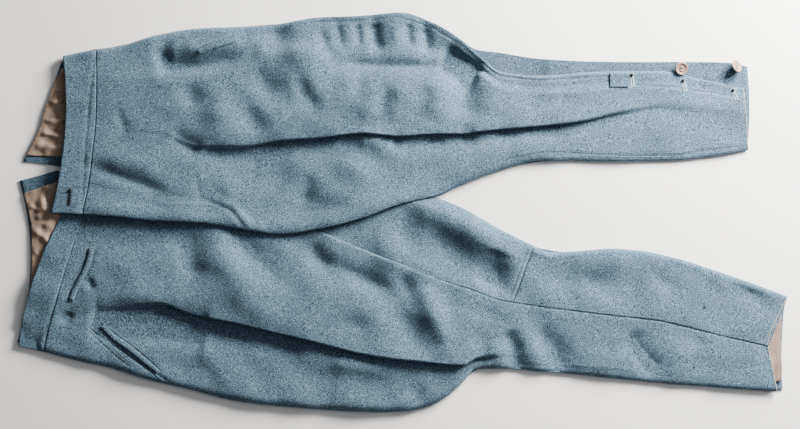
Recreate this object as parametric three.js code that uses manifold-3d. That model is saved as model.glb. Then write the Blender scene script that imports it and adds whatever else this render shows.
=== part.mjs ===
// Military riding breeches in heavy horizon-blue wool, laid flat, front up.
// The waist points to -X and the hems to +X. The wearer's left leg lies at +Y, and its fly edge
// laps over the wearer's right leg. Sizes are millimetres, +Z is up and the cloth rests on Z = 0.

import * as THREE from "three";
import { mergeVertices } from "three/addons/utils/BufferGeometryUtils.js";
import Module from "manifold-3d";

const wasm = await Module();
wasm.setup();

// Driving sizes
const CLOTH = 2.0;
const FACING = 1.2;
const SEAM_GAP = 0.3;
const BACK_TOP = CLOTH;
const SEAT = BACK_TOP + 1.0;
const FOLD_BEND = 4.6;
const LEAST_TURN = 0.5;
const BAND_THICKNESS = 2.6;
const BAND_LIFT = 0.3;
const FLY_FACING_WIDTH = 28;
const PLACKET_FACING_WIDTH = 18;
const WELT_WIDTH = 6.5;
const LIP_WIDTH = 5.5;
const TRIM_THICKNESS = 1.6;
const TRIM_ROOM = 0.35;
const INSEAM_ROOM = 0.9;
const BUTTON_WIDTH = 17;
const BUTTON_THICKNESS = 3.4;
const BUTTON_HOLE = 2.0;
const BUTTON_HOLE_SPREAD = 2.3;
const SHANK_TOP_WIDTH = 3.0;
const SHANK_FOOT_WIDTH = 4.4;

// The folded cloth between front and back: room under the front and beside the lap, the run over
// which it rounds off, the step where it crosses a lap, and how thick it ends.
const HIDDEN_ROOM = 2.0;
const HIDDEN_LAP_ROOM = 7;
const HIDDEN_INSET = 14;
const HIDDEN_STEP = 13;
const HIDDEN_END = 0.8;
const HIDDEN_LEAST = 0.9;

// How finely the pieces are divided.
const FRONT_ROWS = 40;
const FRONT_LEFT_COLUMNS = { upper: 11, bend: 3, lower: 7 };
const FRONT_RIGHT_COLUMNS = { upper: 9, bend: 3, lower: 7 };
const INNER_ROWS = 16;
const INNER_THIGH_COLUMNS = 9;
const INNER_CALF_COLUMNS = 8;
const HIDDEN_ROWS = 20;
const HIDDEN_COLUMNS = 4;
const BAND_ROWS = 3;
const BAND_COLUMNS = 14;
const FLY_FACING_ROWS = 12;
const BUTTON_SIDES = 24;
const SHANK_SIDES = 10;
const HOLE_SIDES = 8;
const SEARCH_STEPS = 30;
const SPREAD_SOFTNESS = 0.75;
const EDGE_FADE = 12;
const WELD = 1e-4;

// Sections of the front of the left leg, from the waistband seam to the hem.
// x and y of the outer and the inner end, the bow of the section, the ridge, the edge of the long
// lap, heights of the cloth's middle at each, the roll of each edge, and the lap's turn and tuck.
const FRONT_LEFT = table(
  "xUp yUp xLow yLow bow ridge lap zUp zSide zRidge zLap zLow zLowEdge rollUp rollLow turn tuck",
  [
    [-396, 212, -413, -1, 7, 165, 110, SEAT, 9, 10, 10, 11, 10.5, 8, 3, 0, 2],
    [-366, 216, -372, -4, 5, 168, 110, SEAT, 9, 10.5, 10.5, 11, 10.5, 9, 3, 0, 2],
    [-314, 231, -314, -10, 0, 172, 108, SEAT, 9.5, 11.5, 12, 11, 10, 10, 3, 8, 2],
    [-262, 239, -262, -12, 0, 180, 90, SEAT, 10, 13, 14, 10.5, 9.5, 10, 4, 35, 2],
    [-210, 241, -210, -20, 0, 195, 92, SEAT, 10.5, 14.5, 16, 10, 9, 10, 5, 80, 2],
    [-158, 245, -158, -27, 0, 208, 101, 5, 10, 16, 17.5, 9.8, 9, 8, 6, 115, 3],
    [-106, 253, -106, -20, 0, 199, 105, 8, 9, 17.5, 18, 9.8, 9.2, 5, 7, 145, 6],
    [-54, 255, -54, -7, 0, 190, 112, 10, 8.5, 18.5, 18, 9.8, 9.2, 4, 7, 160, 8],
    [-2, 259, -2, 12, 0, 190, 105, 11, 8.5, 18.5, 18, 9.6, 9, 4, 7, 165, 9],
    [41, 246, 41, 22, 0, 188, 108, 11, 8, 17.5, 17.5, 9.2, 7.6, 4, 9, 165, 9],
    [76, 225, 76, 36, 0, 184, 107, 10, 7, 16, 17, 8.5, SEAT, 4, 10, 165, 9],
    [102, 202, 102, 47, 0, 176, 110, 8, 7, 14.5, 16, 8.2, SEAT, 4, 10, 160, 8],
    [128, 183, 128, 56, 0, 160, 113, 5, 8, 13.5, 15.5, 8, SEAT, 4, 10, 150, 7],
    [180, 177, 180, 69, 0, 152, 118, 4, 8.5, 13.5, 16, 7.6, SEAT, 5, 9, 120, 4],
    [232, 181, 232, 68, 0, 154, 125, 3.6, 8, 12.5, 14.2, 7.4, SEAT, 6, 9, 95, 2],
    [284, 183, 284, 68, 0, 160, 138, 3.6, 7.4, 10.5, 11.6, 7.2, SEAT, 6, 9, 50, 2],
    [336, 183, 336, 68, 0, 162, 139, 3.8, 6, 8, 8.4, 7, SEAT, 5, 9, 18, 2],
    [388, 173, 388, 72, 0, 155, 134, 3.8, 5.4, 7, 7.4, 6.6, SEAT, 5, 8, 10, 2],
    [444, 161, 450, 82, 0, 148, 125, 4.2, 5, 6, 6.4, 6, SEAT, 4, 7, 4, 2],
  ],
);

// Sections of the front of the right leg, from the waistband seam to the hem.
// Its upper edge hides under the fly and then is the inseam. The side laps out as a lobe.
const FRONT_RIGHT = table(
  "xUp yUp xLow yLow bow ridge lap zUp zSide zRidge zLap zLow zLowEdge rollUp rollLow turn tuck",
  [
    [-408, 10, -465, -179, -3, -70, -113, 3.4, 4.6, 7, 8, 7.5, SEAT, 1, 9, 0, 2],
    [-379, 8, -424, -190, -2, -70, -124, 3.4, 4.6, 8, 9, 8, SEAT, 1, 9, 4, 2],
    [-340, 6, -379, -200, 0, -70, -124, 3.4, 4.8, 9, 10, 8.4, SEAT, 1, 9, 20, 2],
    [-301, 5, -327, -216, 0, -70, -117, 3.4, 5, 10, 12.5, 8.6, SEAT, 1, 10, 75, 2],
    [-262, 3, -275, -228, 0, -70, -131, 3.4, 5, 12, 16, 8.8, SEAT, 1, 10, 135, 5],
    [-210, -1, -216, -243, 0, -75, -142, 3.4, 5, 13.5, 17.5, 9, SEAT, 1, 10, 160, 8],
    [-158, -9, -158, -250, 0, -85, -155, 3.4, 5.4, 15, 18, 9.2, SEAT, 1, 11, 165, 9],
    [-109, -23, -109, -254, 0, -95, -167, 5, 8, 16, 18, 9.2, SEAT, 1, 11, 165, 9],
    [-54, -46, -54, -257, 0, -115, -181, 8, 12, 17, 18, 9, SEAT, 1, 11, 160, 8],
    [-2, -66, -2, -257, 0, -130, -189, 10.5, 13.5, 17.5, 18, 8.8, SEAT, 1, 11, 160, 7],
    [24, -75, 31, -251, 0, -137, -192, 11, 13.5, 17, 17.5, 8.6, SEAT, 1, 11, 158, 7],
    [50, -87, 59, -237, 0, -140, -195, 11.5, 13, 16, 16.5, 8, SEAT, 1, 10, 155, 6],
    [76, -95, 80, -218, 0, -145, -196, 11.5, 12.5, 15, 15.5, 7, SEAT, 1, 8, 145, 4],
    [92, -100, 97, -202, 0, -145, -188, 11.2, 12, 14, 13.5, 7, SEAT, 1, 6, 95, 2],
    [128, -113, 128, -201, 0, -148, -184, 10.5, 11, 12, 11.5, 8.5, SEAT, 1, 8, 22, 2],
    [180, -121, 180, -205, 0, -155, -186, 9.5, 9.8, 10.5, 9.5, 8, SEAT, 1, 9, 4, 2],
    [258, -131, 258, -212, 0, -164, -192, 8.5, 8.8, 9.4, 8.6, 7.6, SEAT, 1, 9, 0, 2],
    [336, -140, 336, -220, 0, -173, -200, 7.5, 7.8, 8.4, 7.8, 7.2, SEAT, 1, 9, 0, 2],
    [414, -159, 417, -226, 0, -185, -208, 6.5, 6.8, 7.4, 7, 6.6, SEAT, 1, 8, 0, 2],
    [476, -173, 487, -231, 0, -195, -214, 5.6, 5.8, 6.4, 6.2, 6, SEAT, 1, 7, 0, 2],
  ],
);

// Upper edge of the inner leg: the part of the right back that turns over to the front.
const INNER_THIGH = table("xUp yUp xLow zUp zCrown rollUp", [
  [-132, 7, -132, 3.4, 4.4, 6],
  [-93, 13, -93, 3.4, 4.8, 8],
  [-54, 18, -54, 3.4, 4.6, 20],
  [-2, 27, -2, 3.4, 5.2, 34],
  [41, 20, 41, SEAT, 8, 24],
  [76, 7, 72, SEAT, 10, 12],
  [102, -7, 92, SEAT, 10.6, 10],
  [128, -22, 112, SEAT, 10.6, 10],
  [154, -35, 131, SEAT, 10.2, 10],
  [170, -43, 144, SEAT, 10, 10],
]);

const INNER_CALF = table("xUp yUp xLow zUp zCrown rollUp", [
  [170.3, -43, 144.3, SEAT, 10, 10],
  [195, -52, 172, SEAT, 9.8, 9],
  [232, -50, 215, SEAT, 9.4, 9],
  [271, -47, 258, SEAT, 8.9, 9],
  [310, -50, 300, SEAT, 8.4, 9],
  [362, -61, 350, SEAT, 7.8, 8],
  [414, -78, 398, SEAT, 7.2, 8],
  [466, -96, 444, SEAT, 6.6, 8],
  [501, -109, 476, SEAT, 6.2, 7],
]);

// The largest folds pressed into each front: a soft trough where depth is negative, else a ridge.
const FOLDS_LEFT = [
  fold(14, -1.4, [[-394, 64], [-340, 44], [-314, 34]]),
  fold(12, -2.0, [[-158, 243], [-150, 216]]),
  fold(11, -2.2, [[-30, 254], [-22, 216]]),
  fold(9, -1.4, [[12, 245], [18, 222]]),
  fold(9, 1.4, [[-48, 250], [-44, 222]]),
  fold(9, 1.4, [[46, 236], [44, 208]]),
  fold(16, -2.2, [[98, 178], [102, 134]]),
  fold(16, -1.6, [[-160, 170], [-130, 140]]),
  fold(16, -1.4, [[4, 166], [-20, 122]]),
  fold(22, -1.6, [[-120, 60], [-80, 20]]),
  fold(14, 1.4, [[-28, 80], [10, 58]]),
];

const FOLDS_RIGHT = [
  fold(18, -2.0, [[-265, -55], [-258, -74], [-243, -92], [-132, -118]]),
  fold(15, -2.6, [[-14, -116], [18, -133], [38, -155], [50, -172]]),
  fold(13, 1.6, [[30, -95], [50, -116], [66, -146]]),
  fold(14, -1.4, [[-72, -64], [-40, -76], [-22, -94]]),
  fold(14, -1.2, [[120, -180], [146, -196]]),
  fold(14, -1.2, [[310, -152], [350, -200]]),
];

const FOLDS_INNER = [
  fold(20, -2.2, [[31, 8], [50, -12], [76, -32], [102, -44], [128, -60], [150, -72]]),
  fold(18, -1.0, [[180, -72], [260, -76]]),
];
FRONT_LEFT.folds = FOLDS_LEFT;
FRONT_RIGHT.folds = FOLDS_RIGHT;

// A table has named columns and one row for each section.
function table(names, rows) {
  const columns = {};
  names.split(" ").forEach((name, place) => {
    columns[name] = rows.map((row) => row[place]);
  });
  return { count: rows.length, columns };
}

function fold(width, depth, line) {
  return { width, depth, line };
}

// Smooth curve through values at whole steps, with no overshoot between them.
function smoothAt(values, at) {
  const last = values.length - 1;
  const inside = held(at, 0, last);
  const low = Math.min(Math.floor(inside), last - 1);
  const part = inside - low;
  const slope = (index) => {
    if (index <= 0 || index >= last) {
      return 0;
    }
    const before = values[index] - values[index - 1];
    const after = values[index + 1] - values[index];
    return before * after > 0 ? (2 * before * after) / (before + after) : 0;
  };
  const edgeSlope = (index) => {
    if (index === 0) {
      return values[1] - values[0];
    }
    return index === last ? values[last] - values[last - 1] : slope(index);
  };
  const a = values[low];
  const b = values[low + 1];
  const squared = part * part;
  const cubed = squared * part;
  return (
    a * (2 * cubed - 3 * squared + 1) +
    edgeSlope(low) * (cubed - 2 * squared + part) +
    b * (3 * squared - 2 * cubed) +
    edgeSlope(low + 1) * (cubed - squared)
  );
}

function sectionAt(panel, at) {
  const section = {};
  for (const [name, values] of Object.entries(panel.columns)) {
    section[name] = smoothAt(values, at);
  }
  return section;
}

const mix = (a, b, part) => a + (b - a) * part;
const eased = (part) => part * part * (3 - 2 * part);
const held = (value, least, most) => Math.min(Math.max(value, least), most);

// A rolled edge rises as a quarter of an ellipse over its roll.
function rolled(edge, crown, distance, roll) {
  const part = held(distance / roll, 0, 1);
  return mix(edge, crown, Math.sqrt(part * (2 - part)));
}

function distanceToLine(line, x, y) {
  let best = Infinity;
  for (let index = 1; index < line.length; index += 1) {
    const [ax, ay] = line[index - 1];
    const [bx, by] = line[index];
    const length = (bx - ax) ** 2 + (by - ay) ** 2;
    const along = ((x - ax) * (bx - ax) + (y - ay) * (by - ay)) / length;
    const part = held(along, 0, 1);
    best = Math.min(best, Math.hypot(x - mix(ax, bx, part), y - mix(ay, by, part)));
  }
  return best;
}

function foldHeight(folds, x, y) {
  let height = 0;
  for (const one of folds) {
    const away = distanceToLine(one.line, x, y) / (one.width / 2);
    height += one.depth * Math.exp(-away * away);
  }
  return height;
}

// A section runs straight from its outer to its inner end, bowed in the middle by its bow.
function bowed(from, to, bow, part) {
  return mix(from, to, part) + 4 * part * (1 - part) * bow;
}

function acrossX(section, y) {
  const part = (section.yUp - y) / (section.yUp - section.yLow);
  return bowed(section.xUp, section.xLow, section.bow, part);
}

// The lap turns the cloth under, runs it back along the tuck, and turns it out again.
function lapShape(section) {
  const turn = THREE.MathUtils.degToRad(Math.max(section.turn, LEAST_TURN));
  const radius = FOLD_BEND / turn;
  const reach = radius * Math.sin(Math.min(turn, Math.PI / 2));
  const drop = 2 * radius * (1 - Math.cos(turn)) + section.tuck * Math.sin(turn);
  const run = 2 * radius * Math.sin(turn) + section.tuck * Math.cos(turn);
  const start = section.lap + reach;
  return { turn, radius, drop, start, end: start - run };
}

function upperHeight(section, y) {
  const lap = lapShape(section);
  const side = mix(section.yUp, section.ridge, 0.5);
  let crown;
  if (y > side) {
    crown = mix(section.zUp, section.zSide, eased((section.yUp - y) / (section.yUp - side)));
    crown = Math.max(crown, rolled(section.zUp, section.zSide, section.yUp - y, section.rollUp));
  } else if (y > section.ridge) {
    crown = mix(section.zSide, section.zRidge, eased((side - y) / (side - section.ridge)));
  } else {
    const part = (section.ridge - y) / (section.ridge - lap.start);
    crown = mix(section.zRidge, section.zLap, eased(Math.min(part, 1)));
  }
  return crown;
}

function lowerHeight(section, y) {
  const lap = lapShape(section);
  const part = held((lap.end - y) / ((lap.end - section.yLow) * 0.5), 0, 1);
  const crown = mix(section.zLap - lap.drop, section.zLow, eased(part));
  return rolled(section.zLowEdge, crown, y - section.yLow, section.rollLow);
}

// Parts from 0 to 1 that lie closer together towards both ends.
function spread(count) {
  const parts = [];
  for (let index = 0; index <= count; index += 1) {
    const even = index / count;
    parts.push(mix(even, (1 - Math.cos(Math.PI * even)) / 2, SPREAD_SOFTNESS));
  }
  return parts;
}

// Points of one front section: the upper layer, the lap and the lower layer.
function frontSection(panel, at, counts) {
  const section = sectionAt(panel, at);
  const lap = lapShape(section);
  const points = [];
  const add = (y, z) => points.push(new THREE.Vector3(acrossX(section, y), y, z));
  for (const part of spread(counts.upper)) {
    const y = mix(section.yUp, lap.start, part);
    const x = acrossX(section, y);
    add(y, upperHeight(section, y) + foldHeight(panel.folds, x, y));
  }
  const first = points[points.length - 1];
  const pressedHigh = first.z - section.zLap;
  const pressedLow = foldHeight(panel.folds, acrossX(section, lap.end), lap.end);
  const steps = counts.bend * 2 + 1;
  let y = lap.start;
  let z = section.zLap;
  for (let step = 1; step <= steps; step += 1) {
    const inTuck = step === counts.bend + 1;
    const length = inTuck ? section.tuck : FOLD_BEND / counts.bend;
    const bent = step <= counts.bend ? step - 0.5 : steps - step + 0.5;
    const heading = inTuck ? lap.turn : (lap.turn * bent) / counts.bend;
    const halfTurn = lap.turn / counts.bend / 2;
    const chord = inTuck ? 1 : Math.sin(halfTurn) / halfTurn;
    y -= Math.cos(heading) * length * chord;
    z -= Math.sin(heading) * length * chord;
    add(y, z + mix(pressedHigh, pressedLow, step / steps));
  }
  const lowStart = y;
  for (const part of spread(counts.lower).slice(1)) {
    const lowY = mix(lowStart, section.yLow, part);
    const pressed = foldHeight(panel.folds, acrossX(section, lowY), lowY);
    const towardsEdge = Math.min(1, EDGE_FADE * (1 - part));
    add(lowY, lowerHeight(section, lowY) + pressed * towardsEdge);
  }
  return points;
}

// A wall of even thickness about a grid of middle points, closed all round.
function wallAbout(grid, thickness) {
  const rows = grid.length;
  const columns = grid[0].length;
  const point = (row, column) => grid[held(row, 0, rows - 1)][held(column, 0, columns - 1)];
  const positions = [];
  for (const side of [1, -1]) {
    for (let row = 0; row < rows; row += 1) {
      for (let column = 0; column < columns; column += 1) {
        const along = point(row + 1, column).clone().sub(point(row - 1, column));
        const across = point(row, column + 1).clone().sub(point(row, column - 1));
        const normal = across.cross(along).normalize();
        const moved = point(row, column).clone().addScaledVector(normal, (side * thickness) / 2);
        positions.push(moved.x, moved.y, moved.z);
      }
    }
  }
  return closedGrid(positions, rows, columns);
}

// A closed body between an upper and a lower grid with the same rows and columns.
function closedGrid(positions, rows, columns) {
  const under = rows * columns;
  const index = [];
  const quad = (a, b, c, d) => index.push(a, b, c, a, c, d);
  for (let row = 0; row < rows - 1; row += 1) {
    for (let column = 0; column < columns - 1; column += 1) {
      const a = row * columns + column;
      const b = a + 1;
      const c = a + columns + 1;
      const d = a + columns;
      quad(a, b, c, d);
      quad(under + a, under + d, under + c, under + b);
    }
  }
  for (let column = 0; column < columns - 1; column += 1) {
    const last = (rows - 1) * columns + column;
    quad(column + 1, column, under + column, under + column + 1);
    quad(last, last + 1, under + last + 1, under + last);
  }
  for (let row = 0; row < rows - 1; row += 1) {
    const first = row * columns;
    const last = first + columns - 1;
    quad(first, first + columns, under + first + columns, under + first);
    quad(last + columns, last, under + last, under + last + columns);
  }
  const geometry = new THREE.BufferGeometry();
  geometry.setAttribute("position", new THREE.Float32BufferAttribute(positions, 3));
  geometry.setIndex(index);
  geometry.computeVertexNormals();
  return geometry;
}

function evenSteps(first, last, count) {
  return Array.from({ length: count + 1 }, (_, index) => mix(first, last, index / count));
}

// Materials
function cloth(colour, roughness) {
  return new THREE.MeshStandardMaterial({ color: colour, roughness, metalness: 0 });
}

const wool = () => cloth("#5f7886", 0.95);
const darkWool = () => cloth("#556d7b", 0.95);
const lining = () => cloth("#8b7260", 0.55);
const facing = () => cloth("#9c8479", 0.8);
const composition = () => cloth("#84685a", 0.5);

const breeches = new THREE.Group();

function place(name, geometry, material) {
  const mesh = new THREE.Mesh(geometry, material);
  mesh.name = name;
  breeches.add(mesh);
  return mesh;
}

// Fronts
function frontWall(panel, counts) {
  const last = panel.count - 1;
  const grid = evenSteps(0, last, FRONT_ROWS).map((at) => frontSection(panel, at, counts));
  return wallAbout(grid, CLOTH);
}

place("front_left", frontWall(FRONT_LEFT, FRONT_LEFT_COLUMNS), wool());
place("front_right", frontWall(FRONT_RIGHT, FRONT_RIGHT_COLUMNS), wool());

// The place in a table where its growing x reaches the x that is asked for.
function search(panel, x, xAt) {
  let low = 0;
  let high = panel.count - 1;
  for (let step = 0; step < SEARCH_STEPS; step += 1) {
    const middle = (low + high) / 2;
    if (xAt(middle) < x) {
      low = middle;
    } else {
      high = middle;
    }
  }
  return (low + high) / 2;
}

// How far down a panel's table a point lies, so that trims can follow the panel.
function findAt(panel, x, y) {
  return search(panel, x, (at) => acrossX(sectionAt(panel, at), y));
}

function frontHeight(panel, x, y) {
  const section = sectionAt(panel, findAt(panel, x, y));
  const lap = lapShape(section);
  const plain = y > lap.start ? upperHeight(section, y) : lowerHeight(section, y);
  return plain + foldHeight(panel.folds, x, y);
}

// The right inner leg meets the front along the inseam.
function inseamAt(x) {
  const at = search(FRONT_RIGHT, x, (middle) => smoothAt(FRONT_RIGHT.columns.xUp, middle));
  const section = sectionAt(FRONT_RIGHT, at);
  return { y: section.yUp, z: section.zUp + foldHeight(FOLDS_RIGHT, section.xUp, section.yUp) };
}

function innerLegWall(panel, columns) {
  const grid = evenSteps(0, panel.count - 1, INNER_ROWS).map((at) => {
    const section = sectionAt(panel, at);
    const seam = inseamAt(section.xLow);
    const seamY = seam.y + SEAM_GAP + INSEAM_ROOM;
    return spread(columns).map((part) => {
      const y = mix(section.yUp, seamY, part);
      const x = mix(section.xUp, section.xLow, part);
      const toSeam = mix(section.zCrown, seam.z, eased(part));
      const z = rolled(section.zUp, toSeam, section.yUp - y, section.rollUp);
      const pressed = foldHeight(FOLDS_INNER, x, y) * Math.sin(Math.PI * part);
      return new THREE.Vector3(x, y, z + pressed);
    });
  });
  return wallAbout(grid, CLOTH);
}

place("inner_leg_thigh_right", innerLegWall(INNER_THIGH, INNER_THIGH_COLUMNS), darkWool());
place("inner_leg_calf_right", innerLegWall(INNER_CALF, INNER_CALF_COLUMNS), wool());

function innerLegHeight(x, y) {
  const panel = x < INNER_CALF.columns.xUp[0] ? INNER_THIGH : INNER_CALF;
  const partAt = (section) => (section.yUp - y) / (section.yUp - inseamAt(section.xLow).y);
  const at = search(panel, x, (middle) => {
    const section = sectionAt(panel, middle);
    return mix(section.xUp, section.xLow, partAt(section));
  });
  const section = sectionAt(panel, at);
  const seam = inseamAt(section.xLow);
  const part = held(partAt(section), 0, 1);
  const toSeam = mix(section.zCrown, seam.z, eased(part));
  const pressed = foldHeight(FOLDS_INNER, x, y) * Math.sin(Math.PI * part);
  return rolled(section.zUp, toSeam, section.yUp - y, section.rollUp) + pressed;
}

// Hidden layers: the fullness of each leg folded away between front and back, as one rounded solid.
const HIDDEN_LEFT = table("x yHigh yLow", [
  [-372, 196, 20],
  [-314, 212, 20],
  [-262, 222, 20],
  [-210, 226, 20],
  [-158, 229, 20],
  [-106, 232, 34],
  [-54, 234, 38],
  [-2, 236, 46],
  [41, 224, 46],
  [76, 204, 54],
  [102, 182, 62],
  [128, 166, 70],
  [180, 160, 82],
  [232, 162, 82],
  [284, 164, 82],
  [330, 164, 84],
]);
const HIDDEN_RIGHT = table("x yHigh yLow", [
  [-372, -70, -180],
  [-314, -60, -198],
  [-262, -60, -214],
  [-210, -60, -228],
  [-158, -60, -236],
  [-106, -60, -240],
  [-54, -50, -242],
  [-2, -34, -242],
  [41, -14, -230],
  [76, -14, -206],
  [102, -28, -190],
  [128, -44, -188],
  [180, -62, -190],
  [232, -70, -196],
  [284, -68, -202],
  [336, -76, -206],
  [390, -92, -212],
]);

function hiddenLayers(panel, ends, height) {
  const bottom = BACK_TOP + SEAM_GAP;
  const upper = [];
  const lower = [];
  for (const at of evenSteps(0, ends.count - 1, HIDDEN_ROWS)) {
    const { x, yHigh, yLow } = sectionAt(ends, at);
    const lap = lapShape(sectionAt(panel, findAt(panel, x, mix(yHigh, yLow, 0.5))));
    const clear = Math.max(lap.start, lap.end) + HIDDEN_LAP_ROOM;
    const parts = spread(HIDDEN_COLUMNS);
    const high = parts.map((part) => mix(yHigh, clear + HIDDEN_STEP, part));
    const low = parts.map((part) => mix(clear, yLow, part));
    for (const y of [...high, ...low]) {
      const under = y > clear ? height(x, y) : lowerLayer(panel, x, y);
      const top = under - CLOTH / 2 - SEAM_GAP - HIDDEN_ROOM;
      const edge = Math.min(yHigh - y, y - yLow);
      const ending = Math.min(1, at, ends.count - 1 - at);
      const crown = Math.max(top, bottom + HIDDEN_LEAST);
      const full = rolled(bottom + HIDDEN_END, crown, edge, HIDDEN_INSET);
      upper.push(x, y, mix(bottom + HIDDEN_END, full, Math.sqrt(Math.max(ending, 0))));
      lower.push(x, y, bottom);
    }
  }
  return closedGrid([...upper, ...lower], HIDDEN_ROWS + 1, 2 * (HIDDEN_COLUMNS + 1));
}

function lowerLayer(panel, x, y) {
  const section = sectionAt(panel, findAt(panel, x, y));
  return lowerHeight(section, Math.min(y, lapShape(section).end)) + foldHeight(panel.folds, x, y);
}

function rightCover(x, y) {
  return y > inseamAt(x).y ? innerLegHeight(x, y) : frontHeight(FRONT_RIGHT, x, y);
}

const leftCover = (x, y) => frontHeight(FRONT_LEFT, x, y);
place("folded_cloth_left", hiddenLayers(FRONT_LEFT, HIDDEN_LEFT, leftCover), darkWool());
place("folded_cloth_right", hiddenLayers(FRONT_RIGHT, HIDDEN_RIGHT, rightCover), darkWool());

// Waistbands: doubled cloth above each front, with the seam gap before its first section.
const BAND_EDGE_LEFT = { xUp: -439, yUp: 203, xLow: -454, yLow: 1, bow: 10 };
const BAND_EDGE_RIGHT = { xUp: -434, yUp: 10, xLow: -497, yLow: -172, bow: -10 };

function bandWall(panel, edge) {
  const seam = sectionAt(panel, 0);
  const grid = evenSteps(0, 1, BAND_ROWS).map((down) =>
    spread(BAND_COLUMNS).map((part) => {
      const seamY = mix(seam.yUp, seam.yLow, part);
      const seamX = acrossX(seam, seamY);
      const edgeX = bowed(edge.xUp, edge.xLow, edge.bow, part);
      const edgeY = mix(edge.yUp, edge.yLow, part);
      const height = frontHeight(panel, seamX, seamY) + BAND_LIFT;
      return new THREE.Vector3(mix(edgeX, seamX - SEAM_GAP, down), mix(edgeY, seamY, down), height);
    }),
  );
  return wallAbout(grid, BAND_THICKNESS);
}

place("waistband_left", bandWall(FRONT_LEFT, BAND_EDGE_LEFT), wool());
place("waistband_right", bandWall(FRONT_RIGHT, BAND_EDGE_RIGHT), wool());

// Backs: flat on the surface, with the two raised points of the back waist.
const BACK_LEFT_OUTLINE = [
  [-491, 68], [-483, 78], [-474, 95], [-466, 114], [-457, 151], [-449, 173], [-438, 199],
  [-396, 211], [-340, 223], [-288, 237], [-236, 241], [-184, 241], [-145, 247], [-106, 253],
  [-54, 256], [-2, 259], [24, 254], [50, 242], [76, 226], [98, 212], [128, 208], [180, 200],
  [232, 197], [310, 196], [388, 196], [440, 194], [449, 186], [449, 166], [451, 134], [454, 104],
  [449, 82], [414, 76], [362, 69], [310, 68], [258, 68], [206, 69], [154, 65], [128, 56],
  [102, 47], [76, 36], [41, 22],
];
const BACK_RIGHT_OUTLINE = [
  [41, 21], [76, 7], [102, -7], [128, -22], [154, -35], [180, -46], [219, -51], [271, -47],
  [310, -49], [362, -61], [414, -77], [466, -96], [499, -108], [496, -124], [495, -165],
  [498, -200], [498, -218], [486, -231], [440, -228], [362, -220], [284, -215], [206, -207],
  [128, -201], [97, -201], [89, -209], [76, -222], [63, -233], [50, -242], [24, -254],
  [-2, -257], [-28, -259], [-80, -256], [-132, -252], [-184, -248], [-236, -239], [-288, -225],
  [-340, -212], [-392, -196], [-457, -181], [-483, -177], [-499, -168], [-499, -158],
  [-493, -121], [-480, -83], [-482, -40], [-484, -3], [-493, 24], [-496, 42],
];
const NOTCH_LEFT = [-441, 60];
const NOTCH_RIGHT = [-441, 55];

function flatPanel(outline, bottom, thickness) {
  const shape = new THREE.Shape();
  shape.moveTo(...outline[0]);
  outline.slice(1).forEach((corner) => shape.lineTo(...corner));
  shape.closePath();
  const geometry = new THREE.ExtrudeGeometry(shape, { depth: thickness, bevelEnabled: false });
  geometry.translate(0, 0, bottom);
  return geometry;
}

place("back_left", flatPanel([...BACK_LEFT_OUTLINE, NOTCH_LEFT], 0, CLOTH), darkWool());
place("back_right", flatPanel([...BACK_RIGHT_OUTLINE, NOTCH_RIGHT], 0, CLOTH), darkWool());

// Linings of the back waist, which show above the front waist.
const LINING_LEFT = [
  [-486, 75], [-480, 84], [-472, 99], [-464, 116], [-455, 150], [-447, 172], [-441, 186],
  [-428, 186], [-425, 120], [-430, 72],
];
const LINING_RIGHT = [
  [-490, 24], [-481, -3], [-479, -40], [-477, -83], [-484, -110], [-446, -104], [-440, -40],
  [-438, 0], [-438, 30], [-442, 42],
];
const UNDER_BAND = BACK_TOP + SEAM_GAP;
place("back_lining_left", flatPanel(LINING_LEFT, UNDER_BAND, FACING), lining());
place("back_lining_right", flatPanel(LINING_RIGHT, UNDER_BAND, FACING), lining());

// Facing inside the right hem, seen past the front's shorter edge.
const HEM_FACING = [
  [484, -118], [492, -124], [492, -165], [494, -198], [493, -216], [482, -216], [470, -190],
  [466, -165],
];
place("hem_facing_right", flatPanel(HEM_FACING, UNDER_BAND, FACING), facing());

const ON_CLOTH = CLOTH / 2 + SEAM_GAP + TRIM_THICKNESS / 2 + TRIM_ROOM;

// Strips that lie on a front: each follows the front's own heights along a line, moved out.
function stripOn(panel, line, width, thickness, steps) {
  const route = new THREE.CatmullRomCurve3(line.map(([x, y]) => new THREE.Vector3(x, y, 0)));
  const grid = evenSteps(0, 1, steps).map((at) => {
    const middle = route.getPointAt(at);
    const tangent = route.getTangentAt(at);
    const side = new THREE.Vector3(-tangent.y, tangent.x, 0);
    return [1, 0, -1].map((across) => {
      const point = middle.clone().addScaledVector(side, (across * width) / 2);
      point.z = frontHeight(panel, point.x, point.y) + ON_CLOTH;
      return point;
    });
  });
  return wallAbout(grid, thickness);
}

const WATCH_WELT = [[-402, -47], [-404, -58], [-409, -72], [-415, -84], [-423, -99], [-428, -112]];
const SLANT_LIP = [[-388, -146], [-374, -160], [-354, -174], [-334, -190], [-316, -206]];
const LEFT_LIP = [[-262, 208], [-240, 216], [-214, 224]];
place(
  "watch_pocket_welt_right",
  stripOn(FRONT_RIGHT, WATCH_WELT, WELT_WIDTH, TRIM_THICKNESS, 8),
  wool(),
);
place(
  "side_pocket_lip_right",
  stripOn(FRONT_RIGHT, SLANT_LIP, LIP_WIDTH, TRIM_THICKNESS, 10),
  wool(),
);
place(
  "side_pocket_lip_left",
  stripOn(FRONT_LEFT, LEFT_LIP, LIP_WIDTH, TRIM_THICKNESS, 6),
  wool(),
);

// Fly facing: the turned-under strip that carries the buttonholes behind the left fly edge.
const FLY_FACING_END = 3.9;
const FLY_FACING_INSET = 1;

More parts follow.
